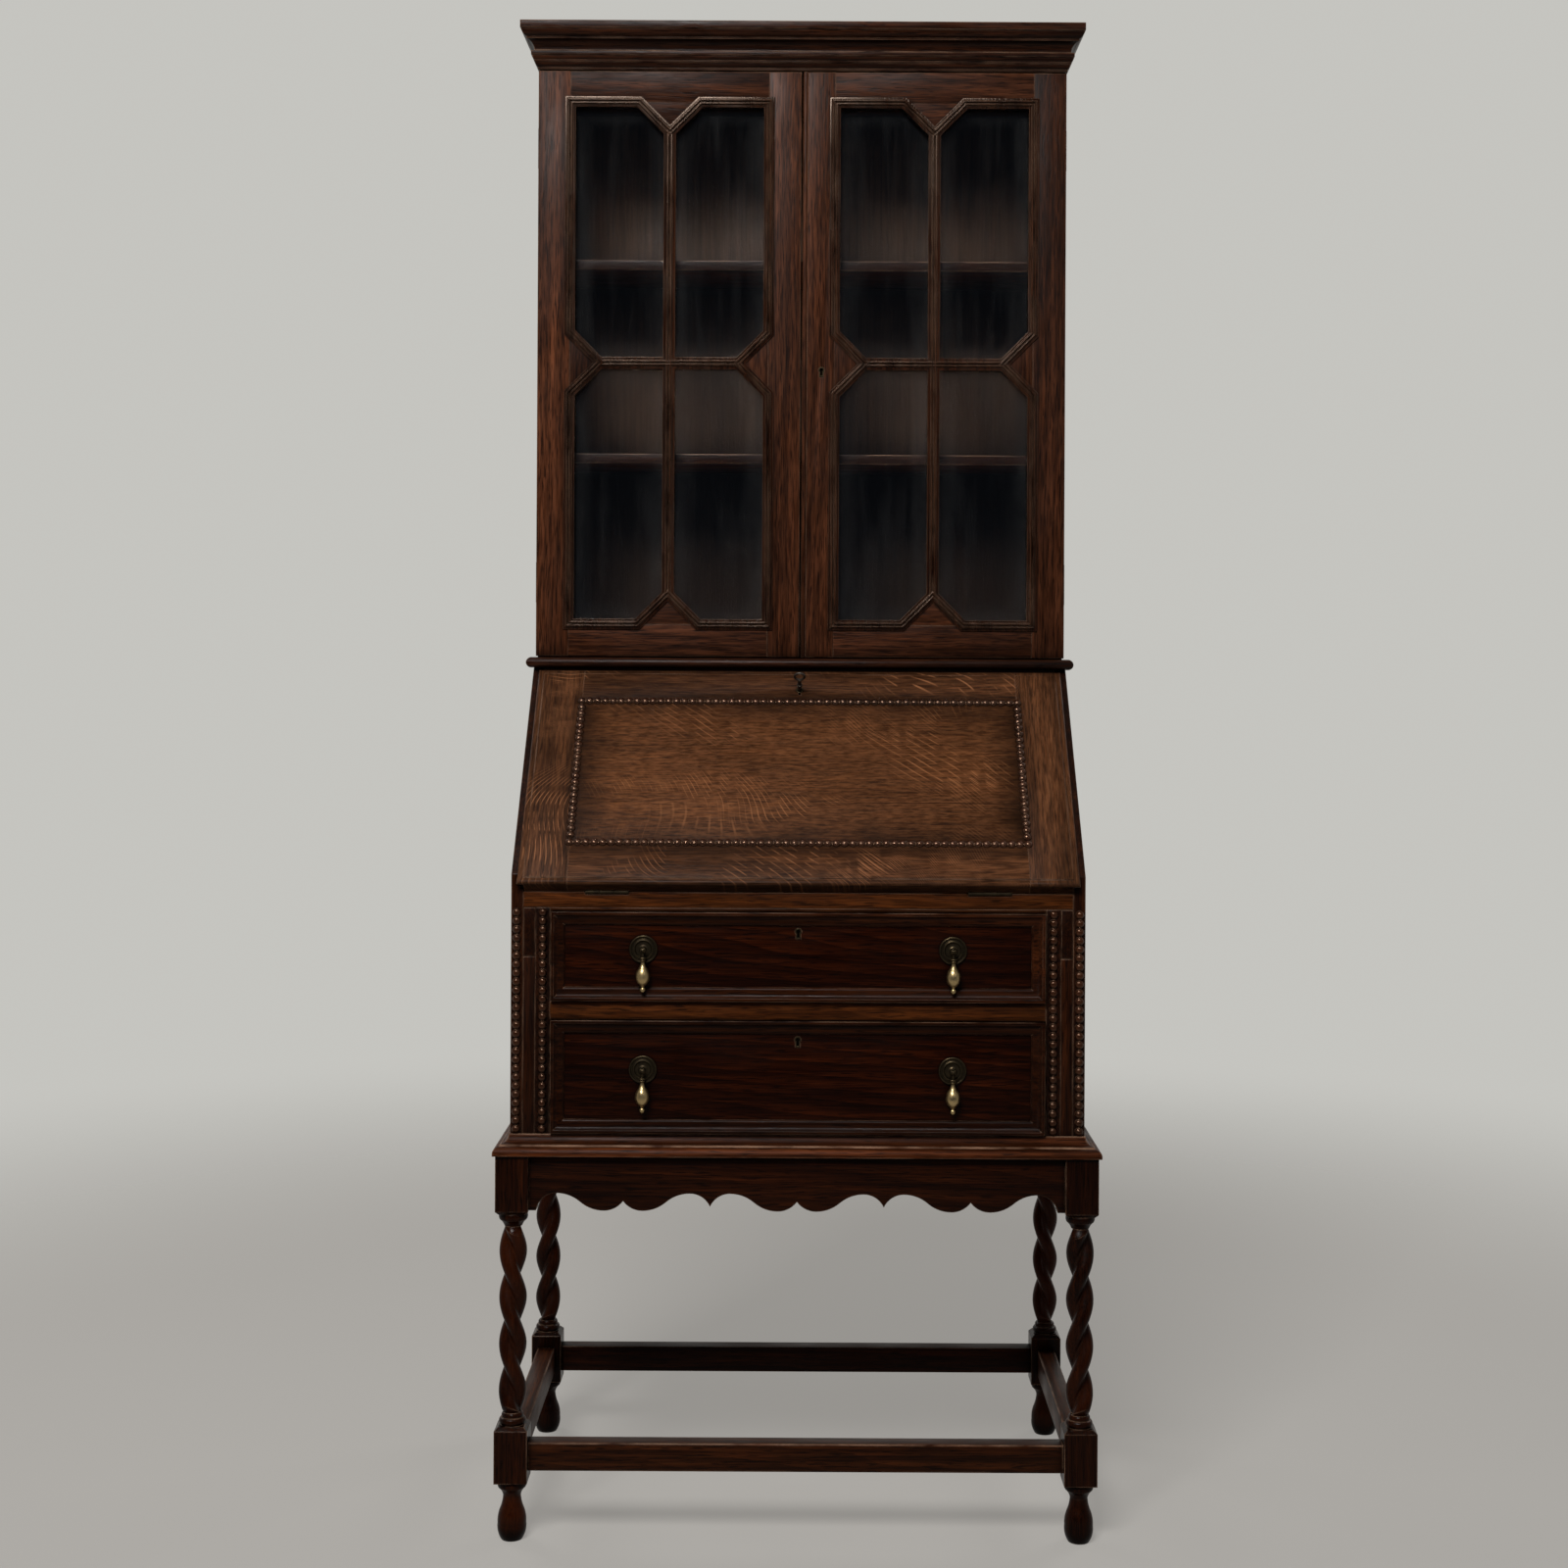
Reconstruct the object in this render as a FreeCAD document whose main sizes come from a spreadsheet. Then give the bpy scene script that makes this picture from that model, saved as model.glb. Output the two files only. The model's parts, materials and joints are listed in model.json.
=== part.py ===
import FreeCAD
import Part
import Sketcher
import math
import os
import re

# A bureau bookcase in oak: a stand on four barley-twist legs, a bureau with two drawers
# and a sloping fall, and a bookcase with two glazed doors. Lengths are in millimetres.
# X runs to the right, Y to the back and Z up; the origin is on the floor, mid-way.

doc = FreeCAD.newDocument("bureau_bookcase")
sizes = doc.addObject("Spreadsheet::Sheet", "Sizes")
places = doc.addObject("Spreadsheet::Sheet", "Places")
V = FreeCAD.Vector

SIZES = {
    # whole piece
    "carcass_width": 660,
    "overall_depth": 400,
    "back_thickness": 8,
    # stand
    "stand_height": 443,
    "leg_block": 38,
    "foot_height": 68,
    "lower_block_height": 64,
    "upper_block_height": 68,
    "ring_height": 14,
    "cup_height": 15,
    "twist_lobe_radius": 9.2,
    "twist_lobe_offset": 6.6,
    "twist_groove_radius": 3,
    "twist_turns": 2,
    "neck_radius": 10.3,
    "shoulder_run": 20,
    "collar_radius": 16.8,
    "foot_radius": 16.5,
    "ankle_radius": 10.2,
    "stretcher_level": 81,
    "stretcher_height": 32,
    "stretcher_thickness": 22,
    "tenon_length": 12,
    "tenon_thickness": 8,
    "tenon_shoulder": 6,
    "apron_thickness": 18,
    "apron_setback": 5,
    "apron_drop": 63,
    "apron_peak_rise": 20,
    "apron_cusp_rise": 11,
    "apron_point_rise": 5,
    "apron_repeat": 199,
    "apron_peak_run": 23,
    "apron_tenon_clear": 2,
    "lobe_spacing": 44,
    "board_thickness": 23,
    "board_ledge": 18.5,
    "board_overhang": 3.5,
    "board_toe": 3,
    # bureau
    "side_thickness": 14,
    "lower_opening": 131.5,
    "rail_height": 20.5,
    "rail_depth": 55,
    "upper_opening": 108,
    "bed_fillet": 4,
    "writing_height": 257,
    "loper_width": 13.4,
    "loper_play": 0.3,
    "loper_height": 56,
    "loper_length": 300,
    "loper_shelf": 14,
    "guide_thickness": 17,
    "runner_width": 18,
    "runner_height": 12,
    "top_thickness": 13,
    "top_side_overhang": 9.5,
    "top_nose": 15,
    "swing_play": 0.6,
    "bead_width": 11,
    "bead_proud": 4,
    "bead_spacing": 0.905,
    # fall
    "slope": 49.3,
    "fall_thickness": 18,
    "lip_thickness": 5,
    "lip_overlap": 7,
    "fall_play": 0.4,
    "fall_side_play": 0.8,
    "fall_head_gap": 1.2,
    "thumb_width": 7.5,
    "thumb_step": 1,
    "thumb_radius": 3.6,
    "fall_stile": 50,
    "fall_top_rail": 52,
    "fall_bottom_rail": 57,
    "fall_bead_spacing": 0.876,
    "panel_recess": 0.6,
    "lock_width": 50,
    "lock_height": 44,
    "lock_depth": 11,
    "bolt_width": 18,
    "bolt_thickness": 5,
    "bolt_length": 22,
    "bolt_throw": 7,
    "bolt_play": 0.3,
    "key_backset": 33,
    "key_radius": 2.2,
    "key_reach": 20,
    "key_bow": 6,
    "keyhole_play": 0.08,
    # pigeonholes
    "pigeon_depth": 120,
    "pigeon_height": 178,
    "pigeon_board": 8,
    # drawers
    "drawer_play": 1,
    "slide_play": 0.3,
    "face_recess": 2,
    "drawer_thickness": 16,
    "drawer_lining": 10,
    "drawer_bottom": 6,
    "drawer_headroom": 14,
    "drawer_back_gap": 14,
    "mould_width": 16,
    "mould_height": 7.5,
    "handle_spacing": 356,
    "handle_rise": 8,
    "plate_radius": 16,
    "stud_radius": 4.6,
    "drop_reach": 9.5,
    "drop_radius": 8,
    "drop_length": 49,
    "eye_thickness": 2.6,
    "pivot_radius": 0.8,
    "pivot_play": 0.05,
    "keyhole_drop": 20,
    # bookcase
    "bookcase_width": 656,
    "bookcase_height": 730,
    "case_side_thickness": 16,
    "case_board": 16,
    "shelf_thickness": 12,
    "shelf_housing": 5,
    "shelf_setback": 10,
    "lower_shelf_rise": 244,
    "upper_shelf_rise": 487,
    "cornice_height": 56,
    "cornice_reach": 21,
    "cornice_wall": 24,
    # doors
    "door_thickness": 19,
    "door_play": 1,
    "door_gap": 2,
    "door_end_gap": 1.5,
    "door_stile": 40,
    "door_top_rail": 38,
    "door_bottom_rail": 40,
    "glass_setback": 11,
    "glass_thickness": 3,
    "glass_play": 0.2,
    "glass_lap": 6,
    "spandrel": 38,
    "border_half": 6.5,
    "bar_half": 7.5,
    "strip_rise": 1.6,
    "ridge_rise": 2.2,
    "ridge_half": 3.6,
    "stem_width": 4,
    "meeting_bead": 6,
    "meeting_bead_radius": 3.4,
    # hinges
    "hinge_length": 50,
    "hinge_leaf": 14,
    "leaf_thickness": 1.4,
    "leaf_sink": 1,
    "barrel_radius": 2.3,
    "barrel_play": 0.4,
    "pin_radius": 1.1,
    "pin_play": 0.05,
    "hinge_inset": 67,
    "hinge_stand_out": 0.3,
    "fall_hinge_spacing": 440,
    "fall_leaf": 26,
}

PLACES = {
    "half": "carcass_width / 2",
    "rear": "overall_depth / 2",
    "board_side": "half + board_ledge",
    "front": "board_ledge - rear",
    "leg_side": "board_side - board_overhang",
    "leg_front": "board_overhang - rear",
    "deck": "stand_height + board_thickness",
    "rail_foot": "deck + lower_opening",
    "rail_head": "rail_foot + rail_height",
    "bed_foot": "rail_head + upper_opening",
    "bed_head": "bed_foot + fall_thickness",
    "inside": "half - side_thickness",
    "guide_out": "inside - loper_width - 2 * loper_play",
    "guide_in": "guide_out - guide_thickness",
    "top_foot": "bed_head + writing_height",
    "top_head": "top_foot + top_thickness",
    "back_face": "rear - back_thickness",
    "lip_base": "fall_thickness - lip_thickness",
    "knee": "bed_head + lip_base / cos(slope)",
    "slope_head": "front + (top_foot - knee) / tan(slope)",
    "fall_length": "(top_foot - fall_head_gap - bed_head - fall_thickness * cos(slope)) / sin(slope)",
    "fall_side": "inside + lip_overlap",
    "fall_inside": "inside - fall_side_play",
    "panel_side": "fall_side - thumb_width - fall_stile",
    "panel_foot": "fall_bottom_rail",
    "panel_head": "fall_length - fall_top_rail",
    "loper_head": "bed_foot - loper_play",
    "loper_foot": "loper_head - loper_height",
    "drawer_side": "guide_in - drawer_play",
    "drawer_face": "front + face_recess",
    "drawer_inner": "drawer_face + drawer_thickness",
    "drawer_rear": "back_face - drawer_back_gap",
    "case_side": "bookcase_width / 2",
    "case_inside": "case_side - case_side_thickness",
    "fall_swing": "sqrt(fall_length * fall_length + fall_thickness * fall_thickness) + swing_play",
    "nose_rise": "top_foot + top_thickness / 2 - bed_head",
    "nose_swing": "fall_swing + top_thickness / 2",
    "top_front": "front + sqrt(nose_swing * nose_swing - nose_rise * nose_rise) - top_thickness / 2",
    "door_front": "top_front + top_nose",
    "door_back": "door_front + door_thickness",
    "case_front": "door_back + door_play",
    "case_head": "top_head + bookcase_height",
    "cornice_head": "case_head + cornice_height",
    "door_foot": "top_head + door_end_gap",
    "door_head": "case_head - door_end_gap",
    "door_near": "door_gap / 2",
    "door_middle": "(door_near + case_side) / 2",
    "sight_half": "(case_side - door_near) / 2 - door_stile",
    "sight_foot": "door_foot + door_bottom_rail",
    "sight_head": "door_head - door_top_rail",
    "sight_middle": "(sight_foot + sight_head) / 2",
    "glass_front": "door_front + glass_setback + glass_play",
    "pin_line": "case_side + hinge_stand_out",
    "pin_depth": "door_back + door_play / 2",
    "key_line": "fall_length - key_backset",
}

owner = {}
owner.update({alias: "Sizes." for alias in SIZES})
owner.update({alias: "Places." for alias in PLACES})


def bind(rule):
    """The rule with each size or place named together with the sheet that holds it."""
    return re.sub(r"[a-z][a-z_]+", lambda word: owner.get(word.group(0), "") + word.group(0), str(rule))


for row, (alias, size) in enumerate(SIZES.items(), start=1):
    sizes.set(f"A{row}", alias.replace("_", " "))
    sizes.set(f"B{row}", str(size))
    sizes.setAlias(f"B{row}", alias)
doc.recompute()
for row, (alias, rule) in enumerate(PLACES.items(), start=1):
    places.set(f"A{row}", alias.replace("_", " "))
    places.set(f"B{row}", "=" + bind(rule).replace("Places.", ""))
    places.setAlias(f"B{row}", alias)
    doc.recompute()


def value(rule):
    """The rule worked out as a number."""
    return float(sizes.evalExpression(bind(rule)))


pieces = []


def drive(thing, rules):
    """Bind properties of an object to rules."""
    for name, rule in rules.items():
        thing.setExpression(name, bind(rule))
    return thing


def box(name, xs, ys, zs):
    """A rectangular board between three pairs of bounds."""
    board = doc.addObject("Part::Box", name)
    for side, axis, (low, high) in zip(("Length", "Width", "Height"), "xyz", (xs, ys, zs)):
        drive(board, {side: f"({high}) - ({low})", f"Placement.Base.{axis}": low})
    return board


def sided(side, low, high):
    """Bounds across the piece, mirrored for the left side."""
    if side > 0:
        return low, high
    return f"-({high})", f"-({low})"


def cut(name, base, tools):
    """The base with every tool taken away from it."""
    tool = tools[0]
    if len(tools) > 1:
        tool = doc.addObject("Part::MultiFuse", name + "_tools")
        tool.Shapes = tools
    cutting = doc.addObject("Part::Cut", name)
    cutting.Base = base
    cutting.Tool = tool
    return cutting


def fuse(name, things):
    """Things joined to one solid."""
    joined = doc.addObject("Part::MultiFuse", name)
    joined.Shapes = things
    return joined


def common(name, first, second):
    """What two things share."""
    shared = doc.addObject("Part::MultiCommon", name)
    shared.Shapes = [first, second]
    return shared


def shaped(name, shape):
    """A solid with a shape of its own."""
    thing = doc.addObject("Part::Feature", name)
    thing.Shape = shape
    return thing


def piece(label, *things):
    """Keep a sub-part under its label; several things become one group."""
    thing = things[0]
    if len(things) > 1:
        thing = doc.addObject("Part::Compound", "group_" + label)
        thing.Links = list(things)
    thing.Label = label
    pieces.append(thing)
    return thing


def outline(sketch, path):
    """Draw a closed path; a corner may carry the radius and turn of the arc that leaves it."""
    corners = [(value(step[0]), value(step[1])) for step in path]
    ends = []
    for index, step in enumerate(path):
        x0, y0 = corners[index]
        x1, y1 = corners[(index + 1) % len(path)]
        if len(step) == 2:
            edge = sketch.addGeometry(Part.LineSegment(V(x0, y0), V(x1, y1)))
            ends.append((edge, 1, 2))
            continue
        radius = value(step[2])
        turn = step[3]
        chord = math.hypot(x1 - x0, y1 - y0)
        rise = math.sqrt(max(radius * radius - chord * chord / 4, 0)) * turn
        cx = (x0 + x1) / 2 - (y1 - y0) / chord * rise
        cy = (y0 + y1) / 2 + (x1 - x0) / chord * rise
        first = math.atan2(y0 - cy, x0 - cx)
        last = math.atan2(y1 - cy, x1 - cx)
        if turn < 0:
            first, last = last, first
        edge = sketch.addGeometry(Part.ArcOfCircle(Part.Circle(V(cx, cy), V(0, 0, 1), radius), first, last))
        ends.append((edge, 1, 2) if turn > 0 else (edge, 2, 1))
        held = sketch.addConstraint(Sketcher.Constraint("Radius", edge, radius))
        sketch.setExpression(f"Constraints[{held}]", bind(step[2]))
    for index, step in enumerate(path):
        edge, start, finish = ends[index]
        after, after_start, after_finish = ends[(index + 1) % len(path)]
        sketch.addConstraint(Sketcher.Constraint("Coincident", edge, finish, after, after_start))
        for kind, rule, spot in (("DistanceX", step[0], 0), ("DistanceY", step[1], 1)):
            held = sketch.addConstraint(Sketcher.Constraint(kind, -1, 1, edge, start, corners[index][spot]))
            sketch.setExpression(f"Constraints[{held}]", bind(rule))


def prism(name, plane, path, start, length):
    """A body padded from a drawn section, from its start along the section's normal."""
    body = doc.addObject("PartDesign::Body", name)
    sketch = body.newObject("Sketcher::SketchObject", name + "_section")
    origin = [item for item in body.Origin.OriginFeatures if item.Role == plane]
    sketch.AttachmentSupport = [(origin[0], "")]
    sketch.MapMode = "FlatFace"
    doc.recompute()
    outline(sketch, path)
    pad = body.newObject("PartDesign::Pad", name + "_pad")
    pad.Profile = sketch
    pad.setExpression("Length", bind(length))
    pad.Reversed = plane == "XZ_Plane"
    body.Tip = pad
    axis = {"YZ_Plane": "x", "XZ_Plane": "y", "XY_Plane": "z"}[plane]
    drive(body, {f"Placement.Base.{axis}": start})
    return body


def lean(name, *things):
    """Things made flat, set together onto the slope of the fall, from the hinge line upwards."""
    group = doc.addObject("Part::Compound", name)
    group.Links = list(things)
    group.Placement = FreeCAD.Placement(V(0, 0, 0), FreeCAD.Rotation(V(1, 0, 0), value("slope")))
    drive(group, {"Placement.Base.y": "front", "Placement.Base.z": "bed_head"})
    group.setExpression("Placement.Rotation.Angle", bind("slope"))
    return group


def turned(steps):
    """A solid turned about the Z axis from (radius, height) points; a third item makes an arc's middle."""
    edges = []
    for start, finish in zip(steps, steps[1:]):
        a = V(start[0], 0, start[1])
        b = V(finish[0], 0, finish[1])
        if len(finish) > 2:
            edges.append(Part.Arc(a, V(finish[2], 0, finish[3]), b).toShape())
        else:
            edges.append(Part.makeLine(a, b))
    edges.append(Part.makeLine(V(steps[-1][0], 0, steps[-1][1]), V(steps[0][0], 0, steps[0][1])))
    return Part.Face(Part.Wire(edges)).revolve(V(0, 0, 0), V(0, 0, 1), 360)


def edge_path(edge, line, sign):
    """Corners of a moulded edge, from its foot up, measured outwards from a line."""
    return [(f"({line}) + ({sign}) * ({step[0]})",) + tuple(step[1:]) for step in edge]


def backwards(path):
    """The same corners in the other order, with each arc kept between its two corners."""
    turned_path = []
    for index in range(len(path) - 1, -1, -1):
        arc = path[index - 1][2:] if index > 0 else ()
        turned_path.append(path[index][:2] + tuple(arc))
    return turned_path


def moulded_block(name, edge, front_line, side_line, back_line, reach):
    """A block with the same moulding, mitred, along its front and both sides."""
    foot = edge[0][1]
    head = edge[-1][1]
    along = edge_path(edge, front_line, -1) + [(back_line, head), (back_line, foot)]
    left = edge_path(edge, f"-({side_line})", -1)
    right = edge_path(edge, side_line, 1)
    across = left + backwards(right)
    width = f"2 * (({side_line}) + ({reach}))"
    depth = f"({back_line}) - ({front_line}) + ({reach})"
    first = prism(name + "_along", "YZ_Plane", along, f"-({side_line}) - ({reach})", width)
    second = prism(name + "_across", "XZ_Plane", across, f"({front_line}) - ({reach})", depth)
    return common(name, first, second)


# Stand: legs

APRON_TENON = ("stand_height - apron_drop + apron_peak_rise + apron_tenon_clear", "stand_height - 0.16 * apron_drop")
leg_block = value("leg_block")
stand_height = value("stand_height")
foot_height = value("foot_height")


def twisted_bar(height, hand):
    """Two round lobes wound about the axis, trimmed to a turned shoulder at each end."""
    lobe = value("twist_lobe_radius")
    offset = value("twist_lobe_offset")
    groove = value("twist_groove_radius")
    rise = math.sqrt((lobe + groove) ** 2 - offset ** 2)
    tx = offset - lobe * offset / (lobe + groove)
    ty = lobe * rise / (lobe + groove)
    outer = lobe + offset
    section = Part.Wire([
        Part.Arc(V(tx, -ty, 0), V(outer, 0, 0), V(tx, ty, 0)).toShape(),
        Part.Arc(V(tx, ty, 0), V(0, rise - groove, 0), V(-tx, ty, 0)).toShape(),
        Part.Arc(V(-tx, ty, 0), V(-outer, 0, 0), V(-tx, -ty, 0)).toShape(),
        Part.Arc(V(-tx, -ty, 0), V(0, groove - rise, 0), V(tx, -ty, 0)).toShape(),
    ])
    spine = Part.Wire([Part.makeLine(V(0, 0, 0), V(0, 0, height))])
    guide = Part.makeLongHelix(height / value("twist_turns"), height, outer, 0, hand > 0)
    pipe = Part.BRepOffsetAPI.MakePipeShell(spine)
    pipe.setAuxiliarySpine(Part.Wire(guide.Edges), True, 0)
    pipe.add(section, False, False)
    pipe.build()
    pipe.makeSolid()
    neck = value("neck_radius")
    run = value("shoulder_run")
    wide = outer + 1.5
    swell = neck + 0.72 * (wide - neck)
    shoulder = turned([
        (0, 0),
        (neck, 0),
        (wide, run, swell, 0.42 * run),
        (wide, height - run),
        (neck, height, swell, height - 0.42 * run),
        (0, height),
    ])
    strands = pipe.shape()
    strands.rotate(V(0, 0, 0), V(0, 0, 1), 90)
    return strands.common(shoulder)


def square_block(low, high, chamfered):
    """A square leg block with its arrises taken off at one end."""
    block = Part.makeBox(leg_block, leg_block, high - low, V(-leg_block / 2, -leg_block / 2, low))
    arrises = [edge for edge in block.Edges if all(abs(p.Point.z - chamfered) < 0.01 for p in edge.Vertexes)]
    return block.makeChamfer(4, arrises)


def mortise(side, level, height, across, shift):
    """A mortise cut into a leg from its inner face, either across the piece or front to back."""
    long = value("tenon_length") + 0.3
    wide = value("tenon_thickness")
    low = leg_block / 2 - long
    start, end = (low, low + long + 1)
    if side < 0:
        start, end = (-end, -start)
    if across:
        return Part.makeBox(end - start, wide, height, V(start, shift - wide / 2, level))
    return Part.makeBox(wide, end - start, height, V(shift - wide / 2, start, level))


def leg_shape(side, end):
    """One leg about its own axis: foot, block, ring, twist, cup and upper block."""
    bulb = value("foot_radius")
    ankle = value("ankle_radius")
    collar = value("collar_radius")
    neck = value("neck_radius")
    block_head = foot_height + value("lower_block_height")
    ring_head = block_head + value("ring_height")
    upper_foot = stand_height - value("upper_block_height")
    cup_foot = upper_foot - value("cup_height")
    foot = turned([
        (0, 0),
        (0.74 * bulb, 0),
        (bulb, 0.27 * foot_height, 0.94 * bulb, 0.1 * foot_height),
        (0.86 * bulb, 0.5 * foot_height, 0.97 * bulb, 0.4 * foot_height),
        (ankle, 0.74 * foot_height, 0.69 * bulb, 0.62 * foot_height),
        (0.95 * collar, 0.88 * foot_height, 0.71 * collar, 0.81 * foot_height),
        (0.93 * collar, foot_height, collar, 0.94 * foot_height),
        (0, foot_height),
    ])
    tall = value("ring_height")
    ring = turned([
        (0, block_head),
        (0.8 * collar, block_head),
        (0.8 * collar, block_head + 0.58 * tall, 0.92 * collar, block_head + 0.29 * tall),
        (0.7 * collar, block_head + 0.58 * tall),
        (neck, ring_head, 0.74 * collar, block_head + 0.82 * tall),
        (0, ring_head),
    ])
    tall = value("cup_height")
    cup = turned([
        (0, cup_foot),
        (neck, cup_foot),
        (0.94 * collar, cup_foot + 0.5 * tall, 0.74 * collar, cup_foot + 0.27 * tall),
        (0.94 * collar, upper_foot, collar, cup_foot + 0.75 * tall),
        (0, upper_foot),
    ])
    twist = twisted_bar(cup_foot - ring_head, side * end)
    twist.translate(V(0, 0, ring_head))
    lower = square_block(foot_height, block_head, block_head)
    upper = square_block(upper_foot, stand_height, upper_foot)
    leg = foot.fuse([lower, ring, twist, cup, upper])
    shoulder = value("tenon_shoulder")
    level = value("stretcher_level") + shoulder
    tall = value("stretcher_height") - 2 * shoulder
    apron_shift = leg_block / 2 - value("apron_setback") - value("apron_thickness") / 2
    apron_level = value(APRON_TENON[0])
    apron_tall = value(APRON_TENON[1]) - apron_level
    leg = leg.cut([
        mortise(-side, level, tall, True, 0),
        mortise(-end, level, tall, False, 0),
        mortise(-side, apron_level, apron_tall, True, end * apron_shift),
        mortise(-end, apron_level, apron_tall, False, side * apron_shift),
    ])
    return leg.Solids[0]


for end, end_name in ((-1, "front"), (1, "back")):
    for side, side_name in ((-1, "left"), (1, "right")):
        label = f"leg_{end_name}_{side_name}"
        leg = shaped(label, leg_shape(side, end))
        across = f"{side} * (leg_side - leg_block / 2)"
        deep = "leg_front + leg_block / 2" if end < 0 else "rear - leg_block / 2"
        drive(leg, {"Placement.Base.x": across, "Placement.Base.y": deep})
        piece(label, leg)

# Stand: stretchers and aprons

LONG_SPAN = "leg_side - leg_block"
SIDE_FOOT = "leg_front + leg_block"
SIDE_HEAD = "rear - leg_block"
STRETCHER_UP = ("stretcher_level", "stretcher_level + stretcher_height")
STRETCHER_TENON = ("stretcher_level + tenon_shoulder", "stretcher_level + stretcher_height - tenon_shoulder")


def middle(line, width):
    """Bounds of a given width about a line."""
    return f"({line}) - ({width}) / 2", f"({line}) + ({width}) / 2"


def long_tenons(name, line, up):
    """The tenon of a rail that runs across the piece, out past both its ends."""
    ends = (f"-({LONG_SPAN}) - tenon_length", f"({LONG_SPAN}) + tenon_length")
    return box(name, ends, middle(line, "tenon_thickness"), up)


def side_tenons(name, line, up):
    """The tenon of a rail that runs front to back."""
    ends = (f"({SIDE_FOOT}) - tenon_length", f"({SIDE_HEAD}) + tenon_length")
    return box(name, middle(line, "tenon_thickness"), ends, up)


for end_name, line in (("front", "leg_front + leg_block / 2"), ("back", "rear - leg_block / 2")):
    bar = box(f"bar_{end_name}", (f"-({LONG_SPAN})", LONG_SPAN), middle(line, "stretcher_thickness"), STRETCHER_UP)
    tenons = long_tenons(f"bar_{end_name}_tenons", line, STRETCHER_TENON)
    piece(f"stretcher_{end_name}", fuse(f"stretcher_{end_name}_wood", [bar, tenons]))

side_bars = []
for side in (-1, 1):
    line = f"{side} * (leg_side - leg_block / 2)"
    bar = box(f"side_bar_{side + 1}", middle(line, "stretcher_thickness"), (SIDE_FOOT, SIDE_HEAD), STRETCHER_UP)
    tenons = side_tenons(f"side_bar_tenons_{side + 1}", line, STRETCHER_TENON)
    side_bars.append(fuse(f"side_stretcher_{side + 1}", [bar, tenons]))
piece("stretchers_side", *side_bars)


def swell(x0, z0, x1, z1):
    """An arc that leaves its first point level and reaches the second."""
    radius = ((x1 - x0) ** 2 + (z1 - z0) ** 2) / (2 * abs(z1 - z0))
    up = 1 if z1 > z0 else -1
    centre = z0 + up * radius
    spread = math.atan2(abs(x1 - x0), abs(centre - z1)) / 2
    way = 1 if x1 > x0 else -1
    mid = V(x0 + way * radius * math.sin(spread), 0, centre - up * radius * math.cos(spread))
    return Part.Arc(V(x0, 0, z0), mid, V(x1, 0, z1)).toShape()


def apron_board(half_length):
    """An apron cut below to as many pairs of lobes as it has room for, with a point between pairs."""
    repeat = value("apron_repeat")
    pairs = int(2 * half_length // repeat)
    lobe = value("lobe_spacing") / 2
    low = stand_height - value("apron_drop")
    cusp = low + value("apron_cusp_rise")
    peak = low + value("apron_peak_rise")
    point = low + value("apron_point_rise")
    hollow = 0.5 * repeat - value("apron_peak_run")
    rise = (low + peak) / 2
    edges = []
    for index in range(pairs):
        middle_x = (index - (pairs - 1) / 2) * repeat
        swing = middle_x + (lobe + hollow) / 2
        edges.append(swell(middle_x + lobe, low, middle_x, cusp))
        edges.append(swell(middle_x - lobe, low, middle_x, cusp))
        edges.append(swell(middle_x + lobe, low, swing, rise))
        edges.append(swell(middle_x + hollow, peak, swing, rise))
        swing = middle_x - (lobe + hollow) / 2
        edges.append(swell(middle_x - lobe, low, swing, rise))
        edges.append(swell(middle_x - hollow, peak, swing, rise))
        for way, last in ((1, index == pairs - 1), (-1, index == 0)):
            end_x = middle_x + way * repeat / 2
            end_z = low if last else point
            edges.append(swell(middle_x + way * hollow, peak, end_x, end_z))
    flat = pairs * repeat / 2
    edges.append(Part.makeLine(V(-half_length, 0, low), V(-flat, 0, low)))
    edges.append(Part.makeLine(V(flat, 0, low), V(half_length, 0, low)))
    edges.append(Part.makeLine(V(half_length, 0, low), V(half_length, 0, stand_height)))
    edges.append(Part.makeLine(V(half_length, 0, stand_height), V(-half_length, 0, stand_height)))
    edges.append(Part.makeLine(V(-half_length, 0, stand_height), V(-half_length, 0, low)))
    face = Part.Face(Part.Wire(Part.__sortEdges__(edges)))
    return face.extrude(V(0, value("apron_thickness"), 0))


FRONT_APRON = "leg_front + apron_setback + apron_thickness / 2"
BACK_APRON = "rear - apron_setback - apron_thickness / 2"
front_board = shaped("apron_front_board", apron_board(value(LONG_SPAN)))
drive(front_board, {"Placement.Base.y": f"{FRONT_APRON} - apron_thickness / 2"})
front_tenons = long_tenons("apron_front_tenons", FRONT_APRON, APRON_TENON)
piece("apron_front", fuse("apron_front_wood", [front_board, front_tenons]))
back_board = box("apron_back_board", (f"-({LONG_SPAN})", LONG_SPAN), middle(BACK_APRON, "apron_thickness"),
                 ("stand_height - 0.85 * apron_drop", "stand_height"))
back_apron = fuse("apron_back_wood", [back_board, long_tenons("apron_back_tenons", BACK_APRON, APRON_TENON)])

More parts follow.
